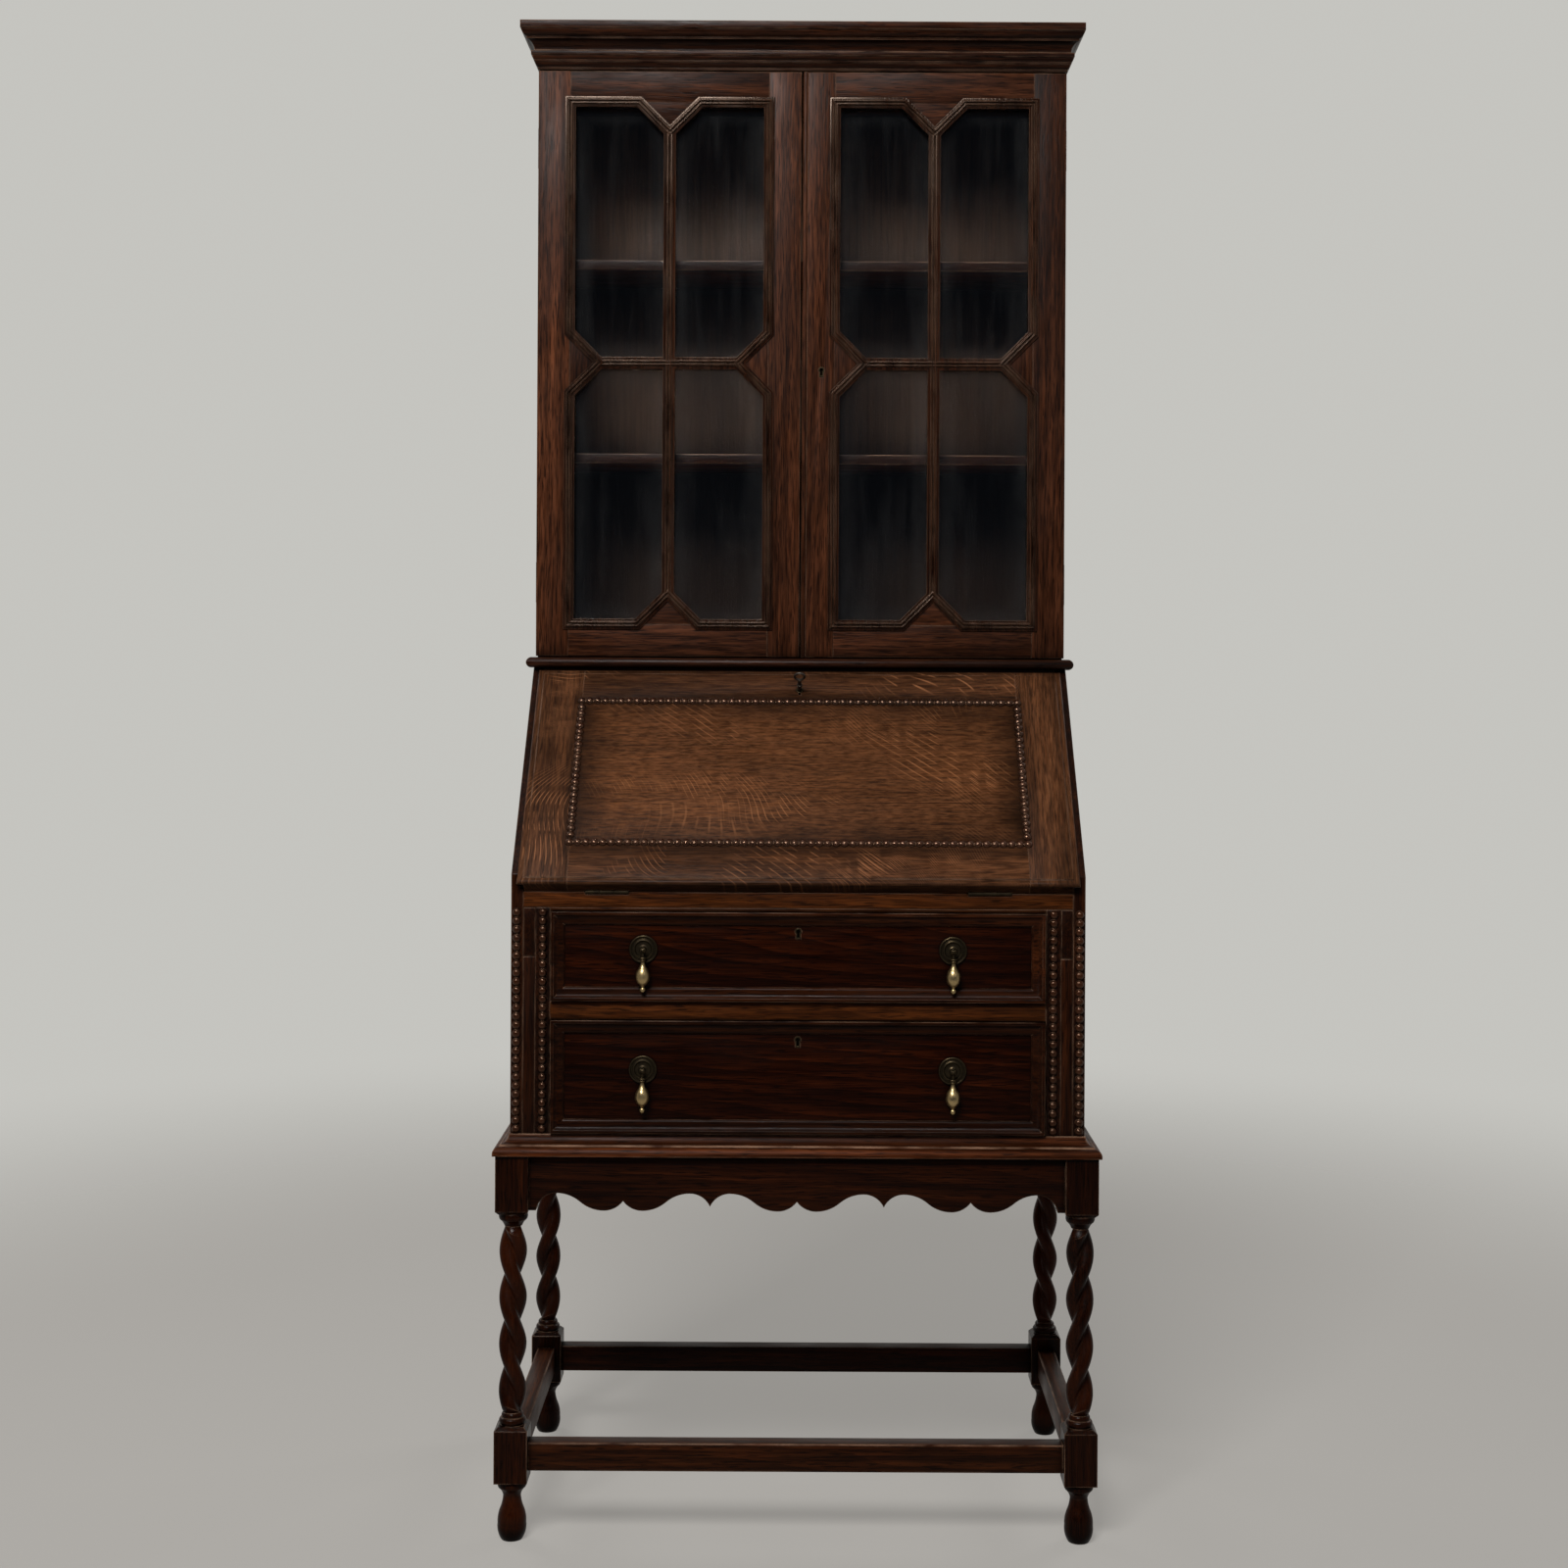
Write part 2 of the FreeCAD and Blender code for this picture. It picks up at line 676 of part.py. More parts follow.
side_aprons = []
for side in (-1, 1):
    line = f"{side} * (leg_side - apron_setback - apron_thickness / 2)"
    side_half = value(f"(({SIDE_HEAD}) - ({SIDE_FOOT})) / 2")
    board = shaped(f"side_apron_board_{side + 1}", apron_board(side_half))
    board.Placement = FreeCAD.Placement(V(0, 0, 0), FreeCAD.Rotation(V(0, 0, 1), 90))
    drive(board, {"Placement.Base.x": f"{line} + apron_thickness / 2",
                  "Placement.Base.y": f"(({SIDE_HEAD}) + ({SIDE_FOOT})) / 2"})
    tenons = side_tenons(f"side_apron_tenons_{side + 1}", line, APRON_TENON)
    side_aprons.append(fuse(f"side_apron_{side + 1}", [board, tenons]))
piece("aprons_side_and_back", back_apron, *side_aprons)

# Stand: moulded board that carries the bureau

board_edge = [
    ("board_ledge", "stand_height"),
    ("board_ledge", "stand_height + board_toe", "0.33 * board_thickness", -1),
    ("0.68 * board_ledge", "stand_height + board_toe + 0.32 * board_thickness"),
    ("0.57 * board_ledge", "stand_height + board_toe + 0.32 * board_thickness"),
    ("0.57 * board_ledge", "stand_height + board_toe + 0.4 * board_thickness", "0.45 * board_thickness", 1),
    ("0.08 * board_ledge", "deck - 0.09 * board_thickness"),
    ("0.08 * board_ledge", "deck"),
]
piece("base_board", moulded_block("base_board_block", board_edge, "front", "half", "rear", "board_ledge"))

# Bureau: carcass

for side, side_name in ((-1, "left"), (1, "right")):
    panel = [
        ("front", "deck"),
        ("rear", "deck"),
        ("rear", "top_foot"),
        ("slope_head", "top_foot"),
        ("front", "knee"),
    ]
    label = f"bureau_side_{side_name}"
    piece(label, prism(label + "_board", "YZ_Plane", panel, sided(side, "inside", "half")[0], "side_thickness"))

piece("bureau_back", box("bureau_back_board", ("-inside", "inside"), ("back_face", "rear"), ("deck", "top_foot")))

nose = [
    ("top_side_overhang - top_thickness / 2", "top_foot", "0.505 * top_thickness", -1),
    ("top_side_overhang - top_thickness / 2", "top_head"),
]
nose_line = "top_front + top_side_overhang"
piece("bureau_top", moulded_block("bureau_top_board", nose, nose_line, "half", "rear", "top_side_overhang"))

guides = []
supports = []
runners = []
for side in (-1, 1):
    tag = f"_{side + 1}"
    guides.append(box("guide" + tag, sided(side, "guide_in", "guide_out"), ("front", "back_face"),
                      ("deck", "bed_foot")))
    slot = sided(side, "guide_out", "inside")
    shelf_head = "loper_foot - loper_play"
    supports.append(box("loper_post" + tag, slot, ("front", "front + loper_shelf"), ("deck", shelf_head)))
    supports.append(box("loper_shelf_board" + tag, slot, ("front + loper_shelf", "back_face"),
                        (f"{shelf_head} - loper_shelf", shelf_head)))
    runners.append(box("runner" + tag, sided(side, "guide_in - runner_width", "guide_in"),
                       ("front + rail_depth", "back_face"), ("rail_head - runner_height", "rail_head")))
piece("drawer_guides", *guides, *supports)
piece("drawer_runners", *runners)

for side, side_name in ((-1, "left"), (1, "right")):
    loper_across = sided(side, "guide_out + loper_play", "inside - loper_play")
    piece(f"loper_{side_name}", box(f"loper_{side_name}_bar", loper_across,
                                    ("front", "front + loper_length"), ("loper_foot", "loper_head")))

LEAN_Y = "front + ({a}) * cos(slope) - ({b}) * sin(slope)"
LEAN_Z = "bed_head + ({a}) * sin(slope) + ({b}) * cos(slope)"


def leaned(a, b):
    """A point of the fall, along and out from its inner face, as places front to back and up."""
    return LEAN_Y.format(a=a, b=b), LEAN_Z.format(a=a, b=b)


head_line = "fall_length + fall_play"
keep_low = leaned(head_line, "-0.5 * fall_thickness")
keep_high = leaned(head_line, "fall_thickness - lip_thickness")
keep_section = [
    keep_low,
    (f"{keep_low[0]} + 22", keep_low[1]),
    (f"{keep_low[0]} + 22", "top_foot"),
    (keep_high[0], "top_foot"),
    keep_high,
]
keep_board = prism("lock_keep_board", "YZ_Plane", keep_section, "-inside", "2 * inside")
BOLT_OUT = ("0.2 * fall_thickness", "0.2 * fall_thickness + bolt_thickness")
slot_room = box("bolt_slot_room", ("-bolt_width / 2 - bolt_play", "bolt_width / 2 + bolt_play"),
                ("fall_length - 1", "fall_length + bolt_throw + 1.5"),
                (f"{BOLT_OUT[0]} - bolt_play", f"{BOLT_OUT[1]} + bolt_play"))
bolt_slot = lean("bolt_slot", slot_room)
mid_rail = box("mid_rail", ("-guide_in", "guide_in"), ("front", "front + rail_depth"), ("rail_foot", "rail_head"))
bed_rail = box("bed_rail", ("-guide_in", "guide_in"), ("front", "front + rail_depth"),
               ("bed_foot - bed_fillet", "bed_foot"))
piece("drawer_rails", mid_rail, bed_rail)
piece("lock_rail", cut("lock_keep", keep_board, [bolt_slot]))

pigeon_back = ("back_face - pigeon_depth", "back_face")
pigeon_under = "bed_head + pigeon_height - pigeon_board"
pigeons = [box("pigeon_top", ("-inside", "inside"), pigeon_back, (pigeon_under, "bed_head + pigeon_height"))]
for index, part_way in enumerate((-0.6, -0.2, 0.2, 0.6)):
    pigeons.append(box(f"pigeon_divider_{index}", middle(f"{part_way} * inside", "pigeon_board"), pigeon_back,
                       ("bed_head", pigeon_under)))
for side in (-1, 1):
    shelf_across = sided(side, "0.6 * inside + pigeon_board / 2", "inside")
    pigeons.append(box(f"pigeon_shelf_{side + 1}", shelf_across, pigeon_back,
                       middle("bed_head + pigeon_height / 2", "pigeon_board")))
piece("pigeonholes", *pigeons)

# Beads


def bead_strip(length, count):
    """A split turning of round beads, lying along X with its flat back at the bottom."""
    step = length / count
    wide = value("bead_width") / 2
    neck = math.sqrt(wide * wide - step * step / 4)
    sunk = wide - value("bead_proud")
    edges = [Part.makeLine(V(0, 0, -sunk), V(0, neck, -sunk))]
    for index in range(count):
        start = V(index * step, neck, -sunk)
        crest = V((index + 0.5) * step, wide, -sunk)
        edges.append(Part.Arc(start, crest, V((index + 1) * step, neck, -sunk)).toShape())
    edges.append(Part.makeLine(V(length, neck, -sunk), V(length, 0, -sunk)))
    edges.append(Part.makeLine(V(length, 0, -sunk), V(0, 0, -sunk)))
    turning = Part.Face(Part.Wire(edges)).revolve(V(0, 0, -sunk), V(1, 0, 0), 360)
    keep = Part.makeBox(length + 2, 2 * wide + 2, wide + 1, V(-1, -wide - 1, 0))
    strip = turning.common(keep)
    return strip.Solids[0]


column = value("bed_foot - deck - 0.8")
column_count = round(column / value("bead_spacing * bead_width"))
column_shape = bead_strip(column, column_count)
upright = FreeCAD.Rotation(V(0, 0, 1), V(-1, 0, 0), V(0, -1, 0), "XYZ")
columns = []
for line in ("half - bead_width / 2 - 1", "(guide_in + guide_out) / 2"):
    for side in (-1, 1):
        strip = shaped(f"bead_column_{len(columns)}", column_shape.copy())
        strip.Placement = FreeCAD.Placement(V(0, 0, 0), upright)
        drive(strip, {"Placement.Base.x": f"{side} * ({line})", "Placement.Base.y": "front",
                      "Placement.Base.z": "deck"})
        columns.append(strip)
piece("pilaster_beads", *columns)

row_length = value("2 * panel_side + bead_width")
row_count = round(row_length / value("fall_bead_spacing * bead_width"))
rise_length = value("panel_head - panel_foot - bead_width")
rise_count = round(rise_length / value("fall_bead_spacing * bead_width"))
row_shape = bead_strip(row_length, row_count)
rise_shape = bead_strip(rise_length, rise_count)
frame_beads = []
for line in ("panel_foot", "panel_head"):
    strip = shaped(f"bead_row_{len(frame_beads)}", row_shape.copy())
    drive(strip, {"Placement.Base.x": "-panel_side - bead_width / 2", "Placement.Base.y": line,
                  "Placement.Base.z": "fall_thickness"})
    frame_beads.append(strip)
for side in (-1, 1):
    strip = shaped(f"bead_rise_{side + 1}", rise_shape.copy())
    strip.Placement = FreeCAD.Placement(V(0, 0, 0), FreeCAD.Rotation(V(0, 0, 1), 90))
    drive(strip, {"Placement.Base.x": f"{side} * panel_side", "Placement.Base.y": "panel_foot + bead_width / 2",
                  "Placement.Base.z": "fall_thickness"})
    frame_beads.append(strip)
piece("fall_beads", lean("fall_bead_frame", *frame_beads))

# Hinges

HINGE = value("hinge_length")
HINGE_THIRD = HINGE / 3
ENDS = [(0, HINGE_THIRD - 0.2), (2 * HINGE_THIRD + 0.2, HINGE)]
CENTRE = [(HINGE_THIRD + 0.2, 2 * HINGE_THIRD - 0.2)]


def hinge_leaf(width, offset, angle, own, other):
    """A leaf with its own knuckles about the Z axis, cleared round those of the other leaf."""
    barrel = value("barrel_radius")
    leaf = Part.makeBox(width, value("leaf_thickness"), HINGE, V(0, offset, 0))
    for low, high in other:
        clear = Part.makeCylinder(barrel + value("barrel_play"), high - low + 0.4, V(0, 0, low - 0.2))
        leaf = leaf.cut(clear)
    knuckles = [Part.makeCylinder(barrel, high - low, V(0, 0, low)) for low, high in own]
    leaf = leaf.fuse(knuckles)
    bore = Part.makeCylinder(value("pin_radius + pin_play"), HINGE + 2, V(0, 0, -1))
    leaf = leaf.cut(bore).removeSplitter()
    leaf.rotate(V(0, 0, 0), V(0, 0, 1), angle)
    return leaf.Solids[0]


def hinge_pin():
    """The pin, a touch shorter than the barrel."""
    return Part.makeCylinder(value("pin_radius"), HINGE, V(0, 0, 0))


def along_x(shape):
    """A hinge made about Z, turned so that its pin runs along X and its leaves face back and up."""
    turning = FreeCAD.Placement(V(0, 0, 0), FreeCAD.Rotation(V(0, 1, 0), V(0, 0, 1), V(1, 0, 0), "XYZ"))
    shape.Placement = turning.multiply(shape.Placement)
    return shape


bed_cuts = []
fall_cuts = []
bed_leaves = []
fall_leaves = []
pins = []
thin = value("leaf_thickness")
for side in (-1, 1):
    tag = f"_{side + 1}"
    start = f"{side} * fall_hinge_spacing / 2 - hinge_length / 2"
    spot = {"Placement.Base.x": start, "Placement.Base.y": "front", "Placement.Base.z": "bed_head"}
    fixed = shaped("bed_leaf" + tag, along_x(hinge_leaf(value("fall_leaf"), -thin, 0, ENDS, CENTRE)))
    moving = shaped("fall_leaf_plate" + tag, along_x(hinge_leaf(value("fall_leaf"), 0, value("slope"), CENTRE, ENDS)))
    pin = shaped("fall_pin" + tag, along_x(hinge_pin()))
    for thing in (fixed, moving, pin):
        drive(thing, spot)
    bed_leaves.append(fixed)
    fall_leaves.append(moving)
    pins.append(pin)
    span = (f"{start} - 0.2", f"{start} + hinge_length + 0.2")
    bed_cuts.append(box("bed_leaf_sink" + tag, span, ("front - 1", "front + fall_leaf + 0.2"),
                        ("bed_head - leaf_thickness", "bed_head + 1")))
    fall_cuts.append(box("fall_leaf_sink" + tag, span, ("-1", "fall_leaf + 0.2"), ("-1", "leaf_thickness")))
    for place, kept in (("bed", bed_cuts), ("fall", fall_cuts)):
        groove = doc.addObject("Part::Cylinder", f"{place}_knuckle_groove{tag}")
        groove.Placement = FreeCAD.Placement(V(0, 0, 0), FreeCAD.Rotation(V(0, 1, 0), 90))
        drive(groove, {"Radius": "barrel_radius + barrel_play", "Height": "hinge_length + 0.4",
                       "Placement.Base.x": f"{start} - 0.2"})
        if place == "bed":
            drive(groove, {"Placement.Base.y": "front", "Placement.Base.z": "bed_head"})
        kept.append(groove)

bed_board = box("bed_board", ("-inside", "inside"), ("front", "back_face"), ("bed_foot", "bed_head"))
piece("writing_bed", cut("writing_bed_wood", bed_board, bed_cuts))
piece("fall_hinge_leaves", *fall_leaves)

# Fall

ROUND_FOOT = "fall_thickness - thumb_step - thumb_radius"
STEP = "fall_thickness - thumb_step"
REST = "lip_base + fall_play / 2"
up_section = [
    ("fall_play", "0"),
    ("fall_length", "0"),
    ("fall_length", ROUND_FOOT, "thumb_radius", 1),
    ("fall_length - thumb_radius", STEP),
    ("fall_length - thumb_width", STEP),
    ("fall_length - thumb_width", "fall_thickness"),
    ("fall_play + thumb_width", "fall_thickness"),
    ("fall_play + thumb_width", STEP),
    ("fall_play + thumb_radius", STEP, "thumb_radius", 1),
    ("fall_play", ROUND_FOOT),
]
cross_section = [
    ("-fall_inside", "0"),
    ("fall_inside", "0"),
    ("fall_inside", REST),
    ("fall_side", REST),
    ("fall_side", ROUND_FOOT, "thumb_radius", 1),
    ("fall_side - thumb_radius", STEP),
    ("fall_side - thumb_width", STEP),
    ("fall_side - thumb_width", "fall_thickness"),
    ("thumb_width - fall_side", "fall_thickness"),
    ("thumb_width - fall_side", STEP),
    ("thumb_radius - fall_side", STEP, "thumb_radius", 1),
    ("-fall_side", ROUND_FOOT),
    ("-fall_side", REST),
    ("-fall_inside", REST),
]
slab = common("fall_slab",
              prism("fall_up", "YZ_Plane", up_section, "-fall_side", "2 * fall_side"),
              prism("fall_cross", "XZ_Plane", cross_section, "0", "fall_length"))
THROUGH = ("-1", "fall_thickness + 1")
full_up = ("-1", "fall_length + 1")
fall_parts = []
for side in (-1, 1):
    bounds = box(f"fall_stile_bounds_{side + 1}", sided(side, "panel_side", "fall_side + 1"), full_up, THROUGH)
    fall_parts.append(common(f"fall_stile_{side + 1}", slab, bounds))
rail_span = ("-panel_side", "panel_side")
foot_rail = common("fall_foot_rail", slab, box("fall_foot_bounds", rail_span, ("-1", "panel_foot"), THROUGH))
fall_parts.append(cut("fall_foot_rail_cut", foot_rail, fall_cuts))
head_bounds = box("fall_head_bounds", rail_span, ("panel_head", "fall_length + 1"), THROUGH)
head_rail = common("fall_head_rail", slab, head_bounds)


def rod(name, radius, x, y, low, high):
    """A round rod along Z."""
    thing = doc.addObject("Part::Cylinder", name)
    return drive(thing, {"Radius": radius, "Height": f"({high}) - ({low})", "Placement.Base.x": x,
                         "Placement.Base.y": y, "Placement.Base.z": low})


lock_bounds = (("-lock_width / 2", "lock_width / 2"), ("fall_length - lock_height", "fall_length"))
lock_sink = box("lock_sink", lock_bounds[0], (lock_bounds[1][0], "fall_length + 1"), ("-1", "lock_depth"))
key_hole = rod("key_hole", "key_radius + keyhole_play", "0", "key_line", "-1", "fall_thickness + 1")
key_slot = box("key_slot", ("-1.3", "1.3"), ("key_line - 7.5", "key_line"), ("0.5 * lock_depth", "fall_thickness + 1"))
fall_parts.append(cut("fall_head_rail_cut", head_rail, [lock_sink, key_hole, key_slot]))
piece("fall_frame", lean("fall_frame_wood", *fall_parts))
panel = box("fall_panel_board", rail_span, ("panel_foot", "panel_head"), ("panel_recess", "fall_thickness"))
piece("fall_panel", lean("fall_panel_wood", panel))

lock_case = box("lock_case", lock_bounds[0], lock_bounds[1], ("0", "lock_depth"))
bolt_way = box("bolt_way", ("-bolt_width / 2 - bolt_play", "bolt_width / 2 + bolt_play"),
               ("fall_length - bolt_length - 1.5", "fall_length + 1"),
               (f"{BOLT_OUT[0]} - bolt_play", f"{BOLT_OUT[1]} + bolt_play"))
key_room = rod("key_room", "8", "0", "key_line", "2", "lock_depth - 2")
key_mouth = rod("key_mouth", "key_radius + keyhole_play", "0", "key_line", "3", "fall_thickness")
key_gate = box("key_gate", ("-1.3", "1.3"), ("key_line - 7.5", "key_line"), ("0.5 * lock_depth", "fall_thickness"))
case_wood = cut("lock_case_cut", lock_case, [bolt_way, key_room, key_mouth, key_gate])
ring_out = rod("key_ring_out", "2 * key_radius", "0", "key_line", "fall_thickness", "fall_thickness + 0.8")
ring_in = rod("key_ring_in", "key_radius + 0.5", "0", "key_line", "fall_thickness - 1", "fall_thickness + 2")
piece("fall_lock", lean("fall_lock_metal", case_wood, cut("key_ring", ring_out, [ring_in])))
bolt = box("lock_bolt_bar", ("-bolt_width / 2", "bolt_width / 2"),
           ("fall_length - bolt_length", "fall_length - 0.3"), BOLT_OUT)
piece("fall_lock_bolt", lean("fall_bolt_metal", bolt))

stem = rod("key_stem", "key_radius", "0", "key_line", "2.3", "fall_thickness + key_reach")
stop = rod("key_stop", "1.5 * key_radius", "0", "key_line", "fall_thickness + 0.45 * key_reach",
           "fall_thickness + 0.55 * key_reach")
bit = box("key_bit", ("-0.9", "0.9"), ("key_line - 7", "key_line"), ("3", "lock_depth - 3"))
bow = doc.addObject("Part::Torus", "key_bow_ring")
bow.Placement = FreeCAD.Placement(V(0, 0, 0), FreeCAD.Rotation(V(1, 0, 0), 90))
drive(bow, {"Radius1": "key_bow", "Radius2": "0.25 * key_bow", "Placement.Base.y": "key_line",
            "Placement.Base.z": "fall_thickness + key_reach + key_bow"})
piece("fall_key", lean("fall_key_metal", fuse("fall_key_parts", [stem, stop, bit, bow])))

# Drawers

HOLLOW = "0.62 * mould_width"
BEAD = "0.3 * mould_width"


def mould_steps(sign, edge):
    """Corners of the drawer moulding from its crest inwards, as distance along and height out."""
    crest = "drawer_face - mould_height"
    quirk = "drawer_face - 0.4 * mould_height"
    along = [f"({edge}) + ({sign}) * {share} * mould_width" for share in (0.22, 0.72, 0.78, 1)]
    return along, crest, quirk


def drawer_moulding(name, foot, head):
    """A frame of moulding that runs round the edge of a drawer front."""
    low, crest, quirk = mould_steps(1, foot)
    high = mould_steps(-1, head)[0]
    right = mould_steps(-1, "drawer_side")[0]
    left = mould_steps(1, "-drawer_side")[0]
    beyond = "drawer_face - mould_height - 1"
    behind = "drawer_face + 1"
    up_path = [
        (beyond, low[0]),
        (crest, low[0], HOLLOW, 1),
        (quirk, low[1]),
        (quirk, low[2], BEAD, -1),
        ("drawer_face", low[3]),
        (behind, low[3]),
        (behind, high[3]),
        ("drawer_face", high[3], BEAD, -1),
        (quirk, high[2]),
        (quirk, high[1], HOLLOW, 1),
        (crest, high[0]),
        (beyond, high[0]),
    ]
    across_path = [
        (left[0], beyond),
        (right[0], beyond),
        (right[0], crest, HOLLOW, 1),
        (right[1], quirk),
        (right[2], quirk, BEAD, -1),
        (right[3], "drawer_face"),
        (right[3], behind),
        (left[3], behind),
        (left[3], "drawer_face", BEAD, -1),
        (left[2], quirk),
        (left[1], quirk, HOLLOW, 1),
        (left[0], crest),
    ]
    blank = box(name + "_blank", ("-drawer_side", "drawer_side"), (crest, "drawer_face"), (foot, head))
    opening = common(name + "_opening",
                     prism(name + "_up", "YZ_Plane", up_path, "-drawer_side", "2 * drawer_side"),
                     prism(name + "_across", "XY_Plane", across_path, foot, f"({head}) - ({foot})"))
    return cut(name, blank, [opening])


def keyhole(name, x, face, z, radius, slot, long, reach, depth):
    """A keyhole shape that runs from in front of a face into it."""
    barrel = doc.addObject("Part::Cylinder", name + "_round")
    barrel.Placement = FreeCAD.Placement(V(0, 0, 0), FreeCAD.Rotation(V(1, 0, 0), -90))
    drive(barrel, {"Radius": radius, "Height": f"({reach}) + ({depth})", "Placement.Base.x": x,
                   "Placement.Base.y": f"({face}) - ({reach})", "Placement.Base.z": z})
    notch = box(name + "_notch", middle(x, slot), (f"({face}) - ({reach})", f"({face}) + ({depth})"),
                (f"({z}) - ({long})", z))
    return fuse(name, [barrel, notch])


def escutcheon(name, x, face, z):
    """A thin keyhole-shaped rim let round a keyhole."""
    rim = keyhole(name + "_rim", x, face, z, "3.6", "5", "8.6", "0.7", "1.5")
    hole = keyhole(name + "_hole", x, face, z, "2.3", "2.4", "7.3", "2", "3")
    return cut(name, rim, [hole])


def plate_shape():
    """A ringed back plate with a ball stud on a post, slotted for the drop and crossed by its pin."""
    wide = value("plate_radius")
    reach = value("drop_reach")
    ball = value("stud_radius")
    plate = turned([
        (0, 0),
        (wide, 0),
        (wide, 1.0),
        (0.86 * wide, 1.2, 0.94 * wide, 2.7),
        (0.74 * wide, 1.2),
        (0.56 * wide, 1.4, 0.65 * wide, 2.9),
        (0.4 * wide, 1.5),
        (0.55 * ball, 3.6, 0.24 * wide, 2.2),
        (0.55 * ball, reach - 0.6 * ball),
        (0, reach - 0.6 * ball),
    ])
    stud = Part.makeSphere(ball, V(0, 0, reach))
    plate = plate.fuse(stud)
    slot = value("eye_thickness") / 2 + 0.3
    room = 3.3
    plate = plate.cut(Part.makeBox(2 * slot, ball + 4 + room, ball + 4 + room, V(-slot, -ball - 4, reach - room)))
    pin = Part.makeCylinder(value("pivot_radius"), 1.6 * ball, V(-0.8 * ball, 0, reach), V(1, 0, 0))
    return plate.fuse(pin).removeSplitter().Solids[0]


def drop_shape():
    """A pear drop on a flat eye, hanging from the pin at its origin."""
    long = value("drop_length")
    wide = value("drop_radius")
    thick = value("eye_thickness")
    tip = 0.36 * wide
    pear = turned([
        (0, -0.04 * long),
        (1.25, -0.04 * long),
        (1.25, -0.15 * long),
        (0.5 * wide, -0.165 * long),
        (0.5 * wide, -0.205 * long, 0.56 * wide, -0.185 * long),
        (0.32 * wide, -0.22 * long),
        (0.42 * wide, -0.25 * long, 0.45 * wide, -0.232 * long),
        (0.28 * wide, -0.275 * long),
        (0.6 * wide, -0.42 * long, 0.36 * wide, -0.34 * long),
        (wide, -0.6 * long, 0.88 * wide, -0.5 * long),
        (0.6 * wide, -0.79 * long, 0.9 * wide, -0.715 * long),
        (0.2 * wide, -0.865 * long, 0.34 * wide, -0.835 * long),
        (0.2 * wide, 0.3 * tip - long, tip, 0.9 * tip - long),
        (0, -long),
    ])
    eye = Part.makeCylinder(2.7, thick, V(-thick / 2, 0, 0), V(1, 0, 0))
    drop = pear.fuse(eye)
    hole = Part.makeCylinder(value("pivot_radius + pivot_play"), thick + 2, V(-thick / 2 - 1, 0, 0), V(1, 0, 0))
    return drop.cut(hole).removeSplitter().Solids[0]


openings = (("lower", "deck", "rail_foot"), ("upper", "rail_head", "bed_foot - bed_fillet"))
for name, opening_foot, opening_head in openings:
    foot = f"{opening_foot} + drawer_play"
    head = f"{opening_head} - 0.6 * drawer_play"
    lining_foot = f"{opening_foot} + slide_play"
    lining_head = f"{opening_head} - drawer_headroom"
    key_level = f"{head} - mould_width - 0.3 * keyhole_drop"
    front_board = box(f"{name}_front_board", ("-drawer_side", "drawer_side"), ("drawer_face", "drawer_inner"),
                      (foot, head))
    lock_box = (("-0.45 * lock_width", "0.45 * lock_width"), ("drawer_inner - 0.5 * drawer_thickness", "drawer_inner"),
                (f"{key_level} - 0.45 * lock_height", f"{head} - 1"))
    lock_room = box(f"{name}_lock_room", lock_box[0], (lock_box[1][0], "drawer_inner + 1"), lock_box[2])
    hole = keyhole(f"{name}_keyhole", "0", "drawer_face", key_level, "3.6", "5", "8.6", "1", "0.5 * drawer_thickness + 1")
    piece(f"{name}_drawer_front", cut(f"{name}_front_wood", front_board, [lock_room, hole]))
    piece(f"{name}_drawer_moulding", drawer_moulding(f"{name}_moulding", foot, head))
    linings = []
    for side in (-1, 1):
        linings.append(box(f"{name}_lining_{side + 1}", sided(side, "drawer_side - drawer_lining", "drawer_side"),
                           ("drawer_inner", "drawer_rear"), (lining_foot, lining_head)))
    inner = ("drawer_lining - drawer_side", "drawer_side - drawer_lining")
    linings.append(box(f"{name}_lining_back", inner, ("drawer_rear - drawer_lining", "drawer_rear"),
                       (f"{lining_foot} + 2 * drawer_bottom", lining_head)))
    linings.append(box(f"{name}_lining_bottom", inner, ("drawer_inner", "drawer_rear"),
                       (f"{lining_foot} + drawer_bottom", f"{lining_foot} + 2 * drawer_bottom")))
    piece(f"{name}_drawer_box", *linings)
    handle_level = f"(({foot}) + ({head})) / 2 + handle_rise"
    fittings = [box(f"{name}_lock_case", *lock_box), escutcheon(f"{name}_escutcheon", "0", "drawer_face", key_level)]
    for side, side_name in ((-1, "left"), (1, "right")):
        plate = shaped(f"{name}_plate_{side_name}", plate_shape())
        plate.Placement = FreeCAD.Placement(V(0, 0, 0), FreeCAD.Rotation(V(1, 0, 0), 90))
        line = f"{side} * handle_spacing / 2"
        drive(plate, {"Placement.Base.x": line, "Placement.Base.y": "drawer_face", "Placement.Base.z": handle_level})
        fittings.append(plate)
        label = f"{name}_{side_name}_drop"
        drop = shaped(label + "_metal", drop_shape())
        drive(drop, {"Placement.Base.x": line, "Placement.Base.y": "drawer_face - drop_reach",
                     "Placement.Base.z": handle_level})
        piece(label, drop)
    piece(f"{name}_drawer_fittings", *fittings)

# Bookcase: carcass

case_up = ("top_head", "case_head")
hinge_levels = ("door_foot + hinge_inset", "door_head - hinge_inset - hinge_length")
shelf_levels = ("top_head + lower_shelf_rise", "top_head + upper_shelf_rise")


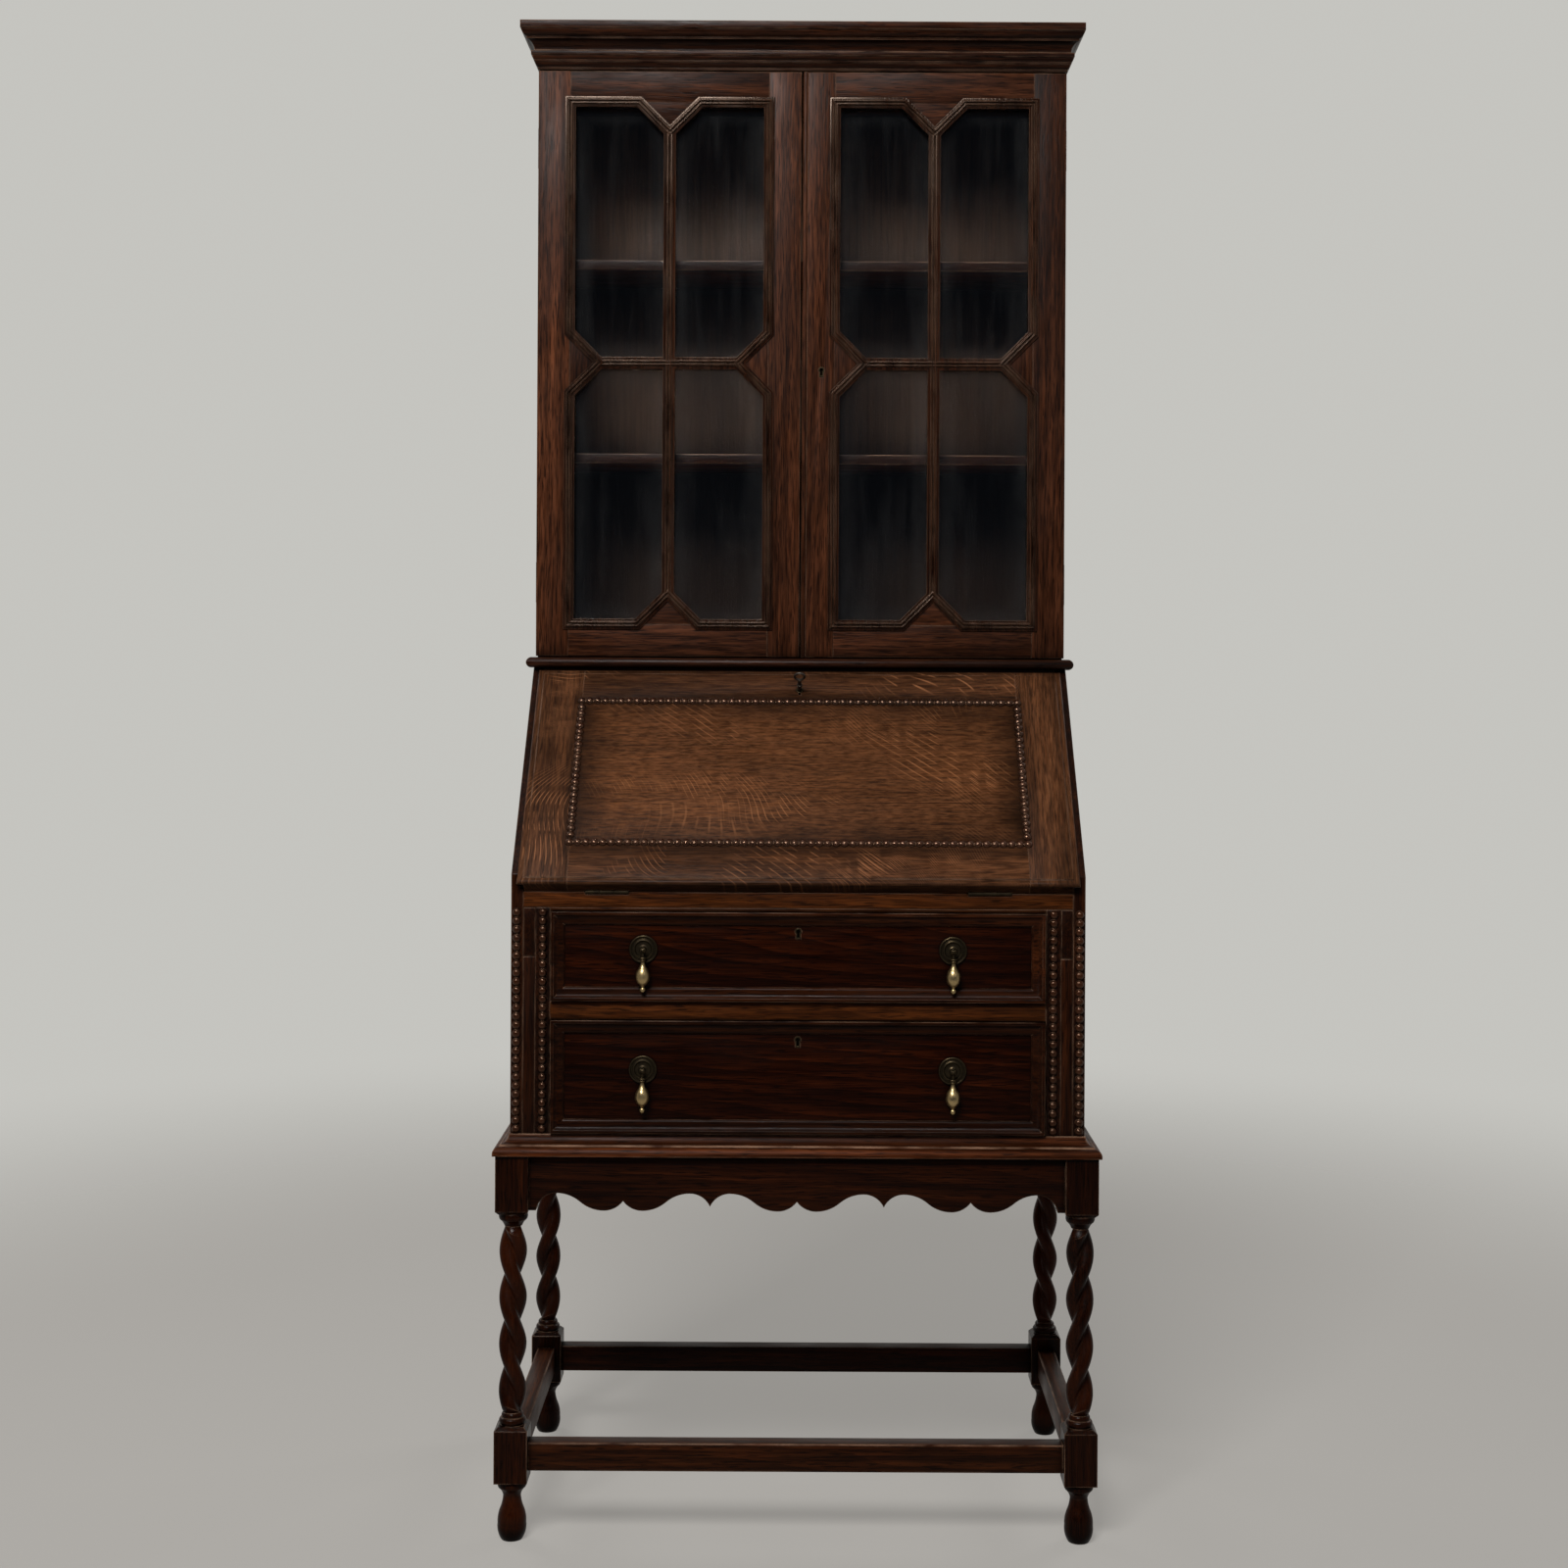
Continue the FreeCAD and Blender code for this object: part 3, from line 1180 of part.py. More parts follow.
def hinge_cuts(name, side, low, high):
    """Leaf and barrel clearances for both hinges of one side, between two depths."""
    tools = []
    for index, level in enumerate(hinge_levels):
        up = (f"{level} - 0.2", f"{level} + hinge_length + 0.2")
        across = sided(side, "pin_line - hinge_leaf - 0.2", "case_side + 1")
        tools.append(box(f"{name}_sink_{index}", across, (low, high), up))
        tools.append(rod(f"{name}_groove_{index}", "barrel_radius + barrel_play", f"{side} * pin_line", "pin_depth",
                         *up))
    return tools


for side, side_name in ((-1, "left"), (1, "right")):
    board = box(f"case_{side_name}_board", sided(side, "case_inside", "case_side"), ("case_front", "back_face"),
                case_up)
    tools = hinge_cuts(f"case_{side_name}", side, "case_front - 1", "case_front + leaf_sink")
    for index, level in enumerate(shelf_levels):
        tools.append(box(f"case_{side_name}_housing_{index}",
                         sided(side, "case_inside - 1", "case_inside + shelf_housing"),
                         ("case_front + shelf_setback", "back_face + 1"),
                         (level, f"{level} + shelf_thickness")))
    piece(f"bookcase_side_{side_name}", cut(f"case_{side_name}_wood", board, tools))

case_span = ("-case_inside", "case_inside")
case_deep = ("case_front", "back_face")
piece("bookcase_bottom", box("case_bottom", case_span, case_deep, ("top_head", "top_head + case_board")))
piece("bookcase_top", box("case_top", case_span, case_deep, ("case_head - case_board", "case_head")))
piece("bookcase_back", box("case_back", ("-case_side", "case_side"), ("back_face", "rear"), case_up))
shelves = []
for index, level in enumerate(shelf_levels):
    shelves.append(box(f"case_shelf_{index}", ("-case_inside - shelf_housing", "case_inside + shelf_housing"),
                       ("case_front + shelf_setback", "back_face"), (level, f"{level} + shelf_thickness")))
piece("bookcase_shelves", *shelves)

REACH = "cornice_reach"
UP = "case_head + {} * cornice_height"
cornice_edge = [
    ("0.05 * cornice_reach", UP.format(0)),
    ("0.05 * cornice_reach", UP.format(0.05), "0.14 * cornice_height", -1),
    ("0.2 * cornice_reach", UP.format(0.16)),
    ("0.25 * cornice_reach", UP.format(0.16)),
    ("0.25 * cornice_reach", UP.format(0.2), "0.12 * cornice_height", -1),
    ("0.36 * cornice_reach", UP.format(0.3)),
    ("0.42 * cornice_reach", UP.format(0.3)),
    ("0.42 * cornice_reach", UP.format(0.385)),
    ("0.24 * cornice_reach", UP.format(0.41), "0.24 * cornice_height", 1),
    ("0.6 * cornice_reach", UP.format(0.63)),
    ("0.66 * cornice_reach", UP.format(0.63)),
    ("0.66 * cornice_reach", UP.format(0.68)),
    ("0.71 * cornice_reach", UP.format(0.68), "0.2 * cornice_height", -1),
    ("0.94 * cornice_reach", UP.format(0.81)),
    ("0.94 * cornice_reach", UP.format(0.835)),
    (REACH, UP.format(0.835)),
    (REACH, UP.format(1)),
]
cornice_block = moulded_block("cornice_block", cornice_edge, "door_front", "case_side", "rear", REACH)
cornice_room = box("cornice_room", ("cornice_wall - case_side", "case_side - cornice_wall"),
                   ("door_front + cornice_wall", "rear + 1"), ("case_head - 1", "cornice_head + 1"))
cornice_ring = cut("cornice_ring", cornice_block, [cornice_room])
MITRE = "(cornice_reach + 2)"
mitre_path = [
    (f"-case_side - {MITRE}", f"door_front - {MITRE}"),
    (f"case_side + {MITRE}", f"door_front - {MITRE}"),
    ("case_side - cornice_wall - 2", "door_front + cornice_wall + 2"),
    ("cornice_wall - case_side + 2", "door_front + cornice_wall + 2"),
]
mitre = prism("cornice_mitre", "XY_Plane", mitre_path, "case_head - 1", "cornice_height + 2")
piece("cornice", common("cornice_front", cornice_ring, mitre), cut("cornice_sides", cornice_ring, [mitre]))

# Doors

leaf_gap = value("door_play / 2 - leaf_thickness + leaf_sink")
case_leaves = []
for side, side_name in ((-1, "left"), (1, "right")):
    moving_offset = leaf_gap if side > 0 else -leaf_gap - thin
    fixed_offset = -leaf_gap - thin if side > 0 else leaf_gap
    turn = 180 if side > 0 else 0
    door_leaves = []
    for index, level in enumerate(hinge_levels):
        tag = f"_{side_name}_{index}"
        fixed = shaped("case_leaf" + tag, hinge_leaf(value("hinge_leaf"), fixed_offset, turn, ENDS, CENTRE))
        moving = shaped("door_leaf" + tag, hinge_leaf(value("hinge_leaf"), moving_offset, turn, CENTRE, ENDS))
        pin = shaped("door_pin" + tag, hinge_pin())
        for thing in (fixed, moving, pin):
            drive(thing, {"Placement.Base.x": f"{side} * pin_line", "Placement.Base.y": "pin_depth",
                          "Placement.Base.z": level})
        case_leaves.append(fixed)
        door_leaves.append(moving)
        pins.append(pin)
    piece(f"{side_name}_door_hinge_leaves", *door_leaves)
piece("hinge_leaves_fixed", *bed_leaves, *case_leaves)
piece("hinge_pins", *pins)


def star_corners():
    """The shaped sight line of a door about its own middle: each pane loses two opposite corners."""
    wide = value("sight_half")
    foot = value("sight_foot")
    head = value("sight_head")
    mid = value("sight_middle")
    cut_off = value("spandrel")
    return [
        (-wide, foot), (-cut_off, foot), (0, foot + cut_off), (cut_off, foot), (wide, foot),
        (wide, mid - cut_off), (wide - cut_off, mid), (wide, mid + cut_off), (wide, head),
        (cut_off, head), (0, head - cut_off), (-cut_off, head), (-wide, head),
        (-wide, mid + cut_off), (cut_off - wide, mid), (-wide, mid - cut_off),
    ]


def shifted(corners, distance):
    """The corners of the same outline moved outwards by a distance."""
    moved = []
    count = len(corners)
    for index in range(count):
        before = corners[index - 1]
        here = corners[index]
        after = corners[(index + 1) % count]
        first = V(here[0] - before[0], here[1] - before[1], 0).normalize()
        second = V(after[0] - here[0], after[1] - here[1], 0).normalize()
        out = V(first.y + second.y, -first.x - second.x, 0)
        out = out * (2 * distance / out.dot(out))
        moved.append((here[0] + out.x, here[1] + out.y))
    return moved


def star_wire(corners, depth):
    """The corners as a closed wire in an upright plane at a depth."""
    points = [V(x, depth, z) for x, z in corners]
    return Part.makePolygon(points + points[:1])


def star_slab(distance, depth, thick):
    """The shaped outline, grown by a distance, as a slab."""
    return Part.Face(star_wire(shifted(star_corners(), distance), depth)).extrude(V(0, thick, 0))


def star_ring(inner, outer, depth, thick):
    """What lies between two offsets of the shaped outline."""
    return star_slab(outer, depth, thick).cut(star_slab(inner, depth - 1, thick + 2))


def ridge_solid(corners_low, corners_high, base, crest):
    """A slab that narrows from its base to its crest."""
    low = star_wire(corners_low, base)
    high = star_wire(corners_high, crest)
    return Part.makeLoft([low, high], True, True)


def bar_ridge(inner, outer, base, crest):
    """One ridge of the border moulding, between two offsets of the outline, bevelled to its crest."""
    star = star_corners()
    bevel = 0.3 * (outer - inner)
    body = ridge_solid(shifted(star, outer), shifted(star, outer - bevel), base, crest)
    hole = ridge_solid(shifted(star, inner), shifted(star, inner + bevel), base, crest)
    return body.cut(hole)


def beam(x0, x1, z0, z1, base, crest, upright_bar):
    """A straight ridge of a glazing bar, bevelled along its length."""
    bevel = 0.3 * ((x1 - x0) if upright_bar else (z1 - z0))
    dx, dz = (bevel, 0) if upright_bar else (0, bevel)
    low = [(x0, z0), (x1, z0), (x1, z1), (x0, z1)]
    high = [(x0 + dx, z0 + dz), (x1 - dx, z0 + dz), (x1 - dx, z1 - dz), (x0 + dx, z1 - dz)]
    return ridge_solid(low, high, base, crest)


def bars_shape():
    """The border moulding with the upright and level bars, about the middle of a door."""
    face = value("door_front")
    strip = face - value("strip_rise")
    crest = strip - value("ridge_rise")
    back = face + value("glass_setback")
    border = value("border_half")
    bar = value("bar_half")
    ridge = value("ridge_half")
    wide = value("sight_half")
    foot = value("sight_foot")
    head = value("sight_head")
    mid = value("sight_middle")
    cut_off = value("spandrel")
    stem = value("stem_width") / 2
    parts = [
        star_ring(-border, border, strip, value("strip_rise")),
        star_ring(-border, 0, face, value("glass_setback")),
    ]
    trim = star_slab(-0.5 * border, crest - 1, back - crest + 20)
    upright_bars = [
        Part.makeBox(2 * bar, back - strip, head - foot, V(-bar, strip, foot)),
        Part.makeBox(2 * wide, back - strip, 2 * bar, V(-wide, strip, mid - bar)),
        Part.makeBox(2 * stem, value("glass_thickness") + 1.5, head - foot, V(-stem, back, foot)),
        Part.makeBox(2 * wide, value("glass_thickness") + 1.5, 2 * stem, V(-wide, back, mid - stem)),
    ]
    gap = 0.12 * ridge
    for low, high in ((-ridge, -gap), (gap, ridge)):
        upright_bars.append(beam(low, high, foot, head, strip, crest, True))
        upright_bars.append(beam(-wide, wide, mid + low, mid + high, strip, crest, False))
        parts.append(bar_ridge(low, high, strip, crest))
    parts.extend(part.common(trim) for part in upright_bars)
    return parts[0].fuse(parts[1:]).removeSplitter().Solids[0]


door_bars = bars_shape()
for side, side_name in ((-1, "left"), (1, "right")):
    tag = f"{side_name}_door"
    deep = ("door_front", "door_back")
    full = ("door_foot", "door_head")
    rebate = box(f"{tag}_rebate", middle(f"{side} * door_middle", "2 * (sight_half + glass_lap)"),
                 ("door_front + glass_setback", "door_back + 1"), ("sight_foot - glass_lap", "sight_head + glass_lap"))
    outer = box(f"{tag}_outer_blank", sided(side, "case_side - door_stile", "case_side"), deep, full)
    hinge_tools = hinge_cuts(f"{tag}_outer", side, "door_back - leaf_sink", "door_back + 1")
    near = box(f"{tag}_near_blank", sided(side, "door_near", "door_near + door_stile"), deep, full)
    near_tools = [rebate]
    if side > 0:
        lock_x = "door_near + 0.6 * door_stile"
        lock_z = "sight_middle - 0.2 * spandrel"
        door_lock = ((f"{lock_x} - 0.32 * door_stile", f"{lock_x} + 0.22 * door_stile"),
                     ("door_back - 0.45 * door_thickness", "door_back"),
                     (f"{lock_z} - lock_height / 2", f"{lock_z} + lock_height / 2"))
        near_tools.append(box("door_lock_room", door_lock[0], (door_lock[1][0], "door_back + 1"), door_lock[2]))
        near_tools.append(keyhole("door_keyhole", lock_x, "door_front", lock_z, "3.6", "5", "8.6", "1",
                                  "0.55 * door_thickness + 1"))
    across = sided(side, "door_near + door_stile", "case_side - door_stile")
    parts = [
        cut(f"{tag}_outer_stile", outer, [rebate] + hinge_tools),
        cut(f"{tag}_near_stile", near, near_tools),
        cut(f"{tag}_head_rail", box(f"{tag}_head_blank", across, deep, ("sight_head", "door_head")), [rebate]),
        cut(f"{tag}_foot_rail", box(f"{tag}_foot_blank", across, deep, ("door_foot", "sight_foot")), [rebate]),
    ]
    centre = f"{side} * door_middle"
    triangles = (
        ((f"{centre} - spandrel", "sight_foot"), (f"{centre} + spandrel", "sight_foot"),
         (centre, "sight_foot + spandrel")),
        ((f"{centre} + spandrel", "sight_head"), (f"{centre} - spandrel", "sight_head"),
         (centre, "sight_head - spandrel")),
        ((f"{centre} + sight_half", "sight_middle - spandrel"), (f"{centre} + sight_half", "sight_middle + spandrel"),
         (f"{centre} + sight_half - spandrel", "sight_middle")),
        ((f"{centre} - sight_half", "sight_middle + spandrel"), (f"{centre} - sight_half", "sight_middle - spandrel"),
         (f"{centre} - sight_half + spandrel", "sight_middle")),
    )
    for index, triangle in enumerate(triangles):
        parts.append(prism(f"{tag}_spandrel_{index}", "XZ_Plane", list(triangle), "door_front", "glass_setback"))
    if side > 0:
        bead = [("door_near", "door_front", "meeting_bead_radius", 1), ("door_near + meeting_bead", "door_front")]
        parts.append(prism("meeting_bead_strip", "XY_Plane", bead, "door_foot", "door_head - door_foot"))
    piece(f"{tag}_frame", *parts)
    bars = shaped(f"{tag}_bars_wood", door_bars.copy())
    drive(bars, {"Placement.Base.x": centre})
    piece(f"{tag}_glazing_bars", bars)
    panes = []
    glass_deep = ("glass_front", "glass_front + glass_thickness")
    inner_edge = "stem_width / 2 + glass_play"
    outer_edge = "sight_half + glass_lap - glass_play"
    levels = (("sight_foot - glass_lap + glass_play", f"sight_middle - ({inner_edge})"),
              (f"sight_middle + {inner_edge}", "sight_head + glass_lap - glass_play"))
    for row, level in enumerate(levels):
        for hand in (-1, 1):
            low, high = sided(hand, inner_edge, outer_edge)
            pane_across = (f"{centre} + {low}", f"{centre} + {high}")
            panes.append(box(f"{tag}_pane_{row}_{hand + 1}", pane_across, glass_deep, level))
    piece(f"{tag}_glass", *panes)
case = box("door_lock_case", *door_lock)
piece("door_lock", case, escutcheon("door_escutcheon", lock_x, "door_front", lock_z))

doc.recompute()
for thing in doc.Objects:
    faults = [state for state in thing.State if state in ("Invalid", "Error")]
    if faults:
        raise RuntimeError(f"{thing.Label} did not build: {thing.State}")
for thing in pieces:
    if thing.Shape.isNull() or not thing.Shape.isValid():
        raise RuntimeError(f"{thing.Label} has no sound shape")
os.makedirs("parts", exist_ok=True)
for thing in pieces:
    thing.Shape.exportStep(f"parts/{thing.Label}.step")
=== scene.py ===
import json
import math
import random

import bmesh
import bpy
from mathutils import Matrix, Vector


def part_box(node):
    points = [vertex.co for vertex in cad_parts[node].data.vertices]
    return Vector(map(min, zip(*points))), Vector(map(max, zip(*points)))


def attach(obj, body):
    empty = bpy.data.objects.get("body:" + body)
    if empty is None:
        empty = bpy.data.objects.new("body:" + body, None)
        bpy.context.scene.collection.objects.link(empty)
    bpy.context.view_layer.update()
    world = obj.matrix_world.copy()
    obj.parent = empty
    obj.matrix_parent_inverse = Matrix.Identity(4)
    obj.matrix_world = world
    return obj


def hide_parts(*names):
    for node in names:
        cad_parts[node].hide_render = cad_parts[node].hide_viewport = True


bl_info = {
    "name": "Bureau Bookcase",
    "version": (1, 0, 0),
    "blender": (4, 5, 0),
    "location": "3D View > Sidebar > Bureau",
    "description": "Dresses an oak bureau bookcase on a barley-twist stand",
    "category": "Object",
}

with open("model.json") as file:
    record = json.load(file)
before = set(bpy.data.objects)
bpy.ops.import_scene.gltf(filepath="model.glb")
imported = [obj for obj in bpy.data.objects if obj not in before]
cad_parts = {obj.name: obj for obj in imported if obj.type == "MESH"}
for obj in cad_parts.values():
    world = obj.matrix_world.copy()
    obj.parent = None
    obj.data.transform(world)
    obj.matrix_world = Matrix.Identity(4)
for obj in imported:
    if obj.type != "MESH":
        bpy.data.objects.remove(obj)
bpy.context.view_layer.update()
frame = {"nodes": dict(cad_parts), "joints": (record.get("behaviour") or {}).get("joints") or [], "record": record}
NODES = frame["nodes"]
BODY_OF = {node: body for body, members in frame["record"]["behaviour"]["bodies"].items() for node in members}
SLOT_OF = {entry["node"]: entry["material_slot"] for entry in frame["record"]["subparts"]}
FALL_JOINT = next(joint for joint in frame["joints"] if joint["name"] == "fall_hinge")
SLOPE = math.pi - math.radians(FALL_JOINT["range_deg"][1])
HINGE_LINE = Vector(FALL_JOINT["pos_m"])

# Glass hidden behind the bars, and how softly the painted shade below a shelf ends.
PANE_LAP = 0.006
SHELF_FADE = 0.01
# The fall measured up its slope: its foot, its hinge line and its panel.
UP_SLOPE = Vector((0, math.cos(SLOPE), math.sin(SLOPE)))
FALL_LOW = UP_SLOPE.dot(Vector(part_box("fall_frame")[0]))
HINGE_UP = UP_SLOPE.dot(HINGE_LINE)
PANEL_LOW, PANEL_HIGH = (UP_SLOPE.dot(Vector(corner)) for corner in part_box("fall_panel"))
PANEL_MIDDLE = (PANEL_LOW + PANEL_HIGH) / 2
PANEL_REACH = (PANEL_HIGH - PANEL_LOW) / 2
PANEL_HALF = (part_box("fall_panel")[1][0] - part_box("fall_panel")[0][0]) / 2
# The panel's glued joint: its rise above the hinge line, where it fades in across the panel,
# and its half width from dark to nothing.
JOINT_RISE = 0.116
JOINT_START = (0.02, 0.12)
JOINT_WIDTH = (0.0002, 0.0007)
# Where dark wax with painted shade fades out, inwards and outwards from the bead frame, and where the painted
# shadow fades out up from the foot of the fall.
PANEL_WAX_AND_SHADE = (0.0, 0.05)
FRAME_WAX_AND_SHADE = (0.003, 0.014)
FOOT_SHADOW = (0.004, 0.014)
# Spacing of the ray fleck, how its patches lie, and how thin its lines are drawn.
RAY_LAYERS = (
    (0.0125, (4.2, 9, 9), 0.72),
    (0.006, (6.0, 13, 13), 0.74),
)
RAY_LEANS = (-0.1, 1.15)

# Parts of the oak, as shares of its own colour.
LINE_PALE = 1.5
# The pale of the fine grain, also of the painted highlight on crests.
GLOW = (2.9, 2.4, 1.9)
RING_DARK = 0.33
# The dark of the pores, also of the painted shade and dirt in corners.
PORE_AND_SHADE_DARK = 0.12
# The dark of the marks: a glued joint, dark wax, painted shadow at the fall's foot and painted shade.
MARK_AND_SHADE_DARK = 0.1
RAY_PALE = 4.6
# Tints of the shine: plain, and warm as on the old wax of the beads and the glazing bars.
PLAIN_SHEEN = (1.0, 1.0, 1.0)
BEAD_SHEEN = (1.0, 0.6, 0.4)
BAR_SHEEN = (1.0, 0.74, 0.58)
# How far the grain of one board lies from the next, how far painted shade and dirt reach out of a corner,
# and the depth of the grain.
BOARD_STEP = (7.3, 3.1, 5.7)
SHADE_AND_GRIME_REACH = 0.05
GRAIN_DEPTH = 0.00022
# Where the rubbed parts of a leg, with their painted highlight, fade in: above the stretcher, below the apron and
# below the stretcher.
TWIST_FOOT = (0.02, 0.04)
TWIST_HEAD = (-0.01, -0.03)
FOOT_HEAD = (-0.02, -0.035)
# Brass: width of its rubbed edges, which also carry a painted highlight, and how far tarnish lies out of a hollow.
METAL_EDGE = 0.0008
METAL_HOLLOW = 0.006
# Old glass and the dust on it.
GLASS_INDEX = 1.3
DUST_COLOUR = (0.34, 0.33, 0.32, 1)
CORNER_DUST = 0.02
STREAK_DUST = 0.011
PANE_SHADOW = (0.9, 0.92, 0.92, 1)

# Edges turned by more than this are eased, and faces that meet at less than the second angle shade as one.
SHARP_TURN = 0.6
SMOOTH_TURN = math.radians(32)
# Faces that meet within this angle become one before the edges are eased.
FLAT_TURN = math.radians(0.5)
# Eased edges that differ from the usual arris.
FALL_ARRIS = 0.0011
PANEL_ARRIS = 0.0004
BAR_ARRIS = 0.0003

# Each lamp: its name, the setting for its power, its place, what it points at, its width and height.
LAMPS = (
    ("key_lamp", "key_power", (-0.9, -3.0, 3.7), (0, 0, 0.9), (1.6, 1.1)),
    ("fill_lamp", "fill_power", (1.9, -2.9, 2.2), (0, 0, 0.8), (1.2, 1.2)),
    ("left_lamp", "side_power", (-2.7, 2.3, 2.5), (0, 0, 0.9), (1.4, 1.4)),
    ("right_lamp", "side_power", (2.7, 2.3, 2.5), (0, 0, 0.9), (1.4, 1.4)),
)
# Width of the floor's rim that is fully clear.
FLOOR_RIM = 0.1

# Turns that bring the grain of a board onto X and, on the fall, the face onto Z.
GRAIN_TURNS = {
    "x": (0, 0, 0),
    "y": (0, 0, -math.pi / 2),
    "z": (0, math.pi / 2, 0),
    "fall_x": (-SLOPE, 0, 0),
    "fall_up": (-SLOPE, 0, -math.pi / 2),
}
GRAIN_LINES = {
    "x": Vector((1, 0, 0)),
    "y": Vector((0, 1, 0)),
    "z": Vector((0, 0, 1)),
    "fall_x": Vector((1, 0, 0)),
    "fall_up": UP_SLOPE,
}


def tint(name, description, colour):
    """A colour that a user can change."""
    return bpy.props.FloatVectorProperty(
        name=name, description=description, default=colour, size=3, min=0, max=1, subtype="COLOR"
    )


def share(name, description, amount):
    """A factor from nought to one that a user can change."""
    return bpy.props.FloatProperty(
        name=name, description=description, default=amount, min=0, max=1, subtype="FACTOR"
    )


def size(name, description, metres):
    """A length that a user can change."""
    return bpy.props.FloatProperty(name=name, description=description, default=metres, unit="LENGTH")


def power(name, description, watts):
    """The strength of a lamp, which a user can change."""
    return bpy.props.FloatProperty(name=name, description=description, default=watts, unit="POWER")


def shift(name, description, share_of_frame):
    """A shift of the lens that a user can change."""
    return bpy.props.FloatProperty(name=name, description=description, default=share_of_frame)


class BureauFinishes(bpy.types.PropertyGroup):
    """Colours and wear of the oak, the brass and the glass."""

    case_oak: tint("Case oak", "Waxed oak of the bookcase and carcass", (0.044, 0.0115, 0.003))
    # Darkened partly as painted shade, on the sides and on the drawer mouldings that share it.
    side_oak: tint("Side oak", "Darker oak of the sides, posts and lopers", (0.017, 0.0046, 0.0013))
    rail_oak: tint("Rail oak", "Golden oak of the drawer rails and the bed's edge", (0.062, 0.0175, 0.0036))
    crown_oak: tint("Crown oak", "Darkened oak of the cornice and the rounded top", (0.017, 0.0052, 0.002))
    door_oak: tint("Door oak", "Waxed oak of the door frames", (0.041, 0.0138, 0.006))
    stand_oak: tint("Stand oak", "Waxed oak of the legs, stretchers and aprons", (0.018, 0.0044, 0.0012))
    # Lighter than the stand oak: rubbed wear, and partly painted light on the stretchers.
    stretcher_oak: tint("Stretcher oak", "Rubbed oak of the stretchers", (0.03, 0.0082, 0.0021))
    fall_oak: tint("Fall oak", "Faded oak of the fall's frame", (0.064, 0.0255, 0.0105))
    panel_oak: tint("Panel oak", "Faded oak of the fall's panel", (0.074, 0.029, 0.0112))
    drawer_oak: tint("Drawer oak", "Red-brown oak of the drawer fronts", (0.02, 0.004, 0.0009))
    lining_oak: tint("Lining oak", "Plain oak inside and at the back", (0.075, 0.04, 0.022))
    # A darker copy of the lining oak: painted shade on the inner face of the bookcase's back.
    inside_oak: tint("Inside oak", "Dark oak at the back of the shelves", (0.04, 0.0215, 0.0135))
    # Pale rubbed arrises: wear, and a painted highlight along edges.
    worn_and_lit_oak: tint("Worn oak", "Oak where edges have rubbed through", (0.3, 0.17, 0.105))
    brass: tint("Brass", "Rubbed brass of the drops", (0.5, 0.36, 0.17))
    tarnish: tint("Tarnish", "Darkened brass of the plates and hinges", (0.026, 0.019, 0.012))
    iron: tint("Iron", "Handled iron of the key", (0.2, 0.17, 0.15))
    glass: tint("Glass", "Tint of the old panes", (0.9, 0.95, 0.96))
    # How far arrises take the pale of wear and the painted highlight.
    edge_wear_and_highlight: share("Edge wear", "How far arrises have rubbed pale", 0.75)
    arris: size("Arris", "Width of the eased edge of each board", 0.0007)


class BureauStage(bpy.types.PropertyGroup):
    """Camera, lamps, floor and backdrop."""

    camera_back: size("Camera distance", "From the middle of the piece to the camera", 2.712)
    camera_height: size("Camera height", "Lens above the floor", 1.006)
    lens: bpy.props.FloatProperty(name="Lens", description="Focal length", default=50.57, unit="CAMERA")
    roll: bpy.props.FloatProperty(
        name="Roll",
        description="Lean of the camera about its axis",
        default=math.radians(0.3),
        subtype="ANGLE",
    )
    shift_across: shift("Shift X", "Sideways shift of the lens", -0.01)
    shift_up: shift("Shift Y", "Upward shift of the lens", -0.076)
    key_power: power("Key lamp", "Large lamp above the front", 165)
    fill_power: power("Fill lamp", "Soft lamp beside the camera", 5)
    side_power: power("Side lamps", "Soft lamps behind each side", 30)
    even_light: share("Even light", "Light from all round", 0.045)
    even_tint: tint("Even tint", "Colour of the light from all round", (0.72, 0.86, 1.0))
    floor_colour: tint("Floor", "Plain pale floor", (0.47, 0.45, 0.42))
    floor_glow: share("Floor glow", "How far the floor shows its plain colour", 0.55)
    floor_plain: size("Plain floor", "Radius at which the floor starts to fade", 1.2)
    floor_reach: size("Floor", "Radius of the floor", 3.2)
    backdrop_colour: tint("Backdrop", "Plain pale backdrop", (0.56, 0.555, 0.525))
    front_colour: tint("Front", "Dimmer backdrop in front, for reflections", (0.05, 0.06, 0.08))


def finishes():
    return bpy.context.scene.bureau_finishes


# Shader building


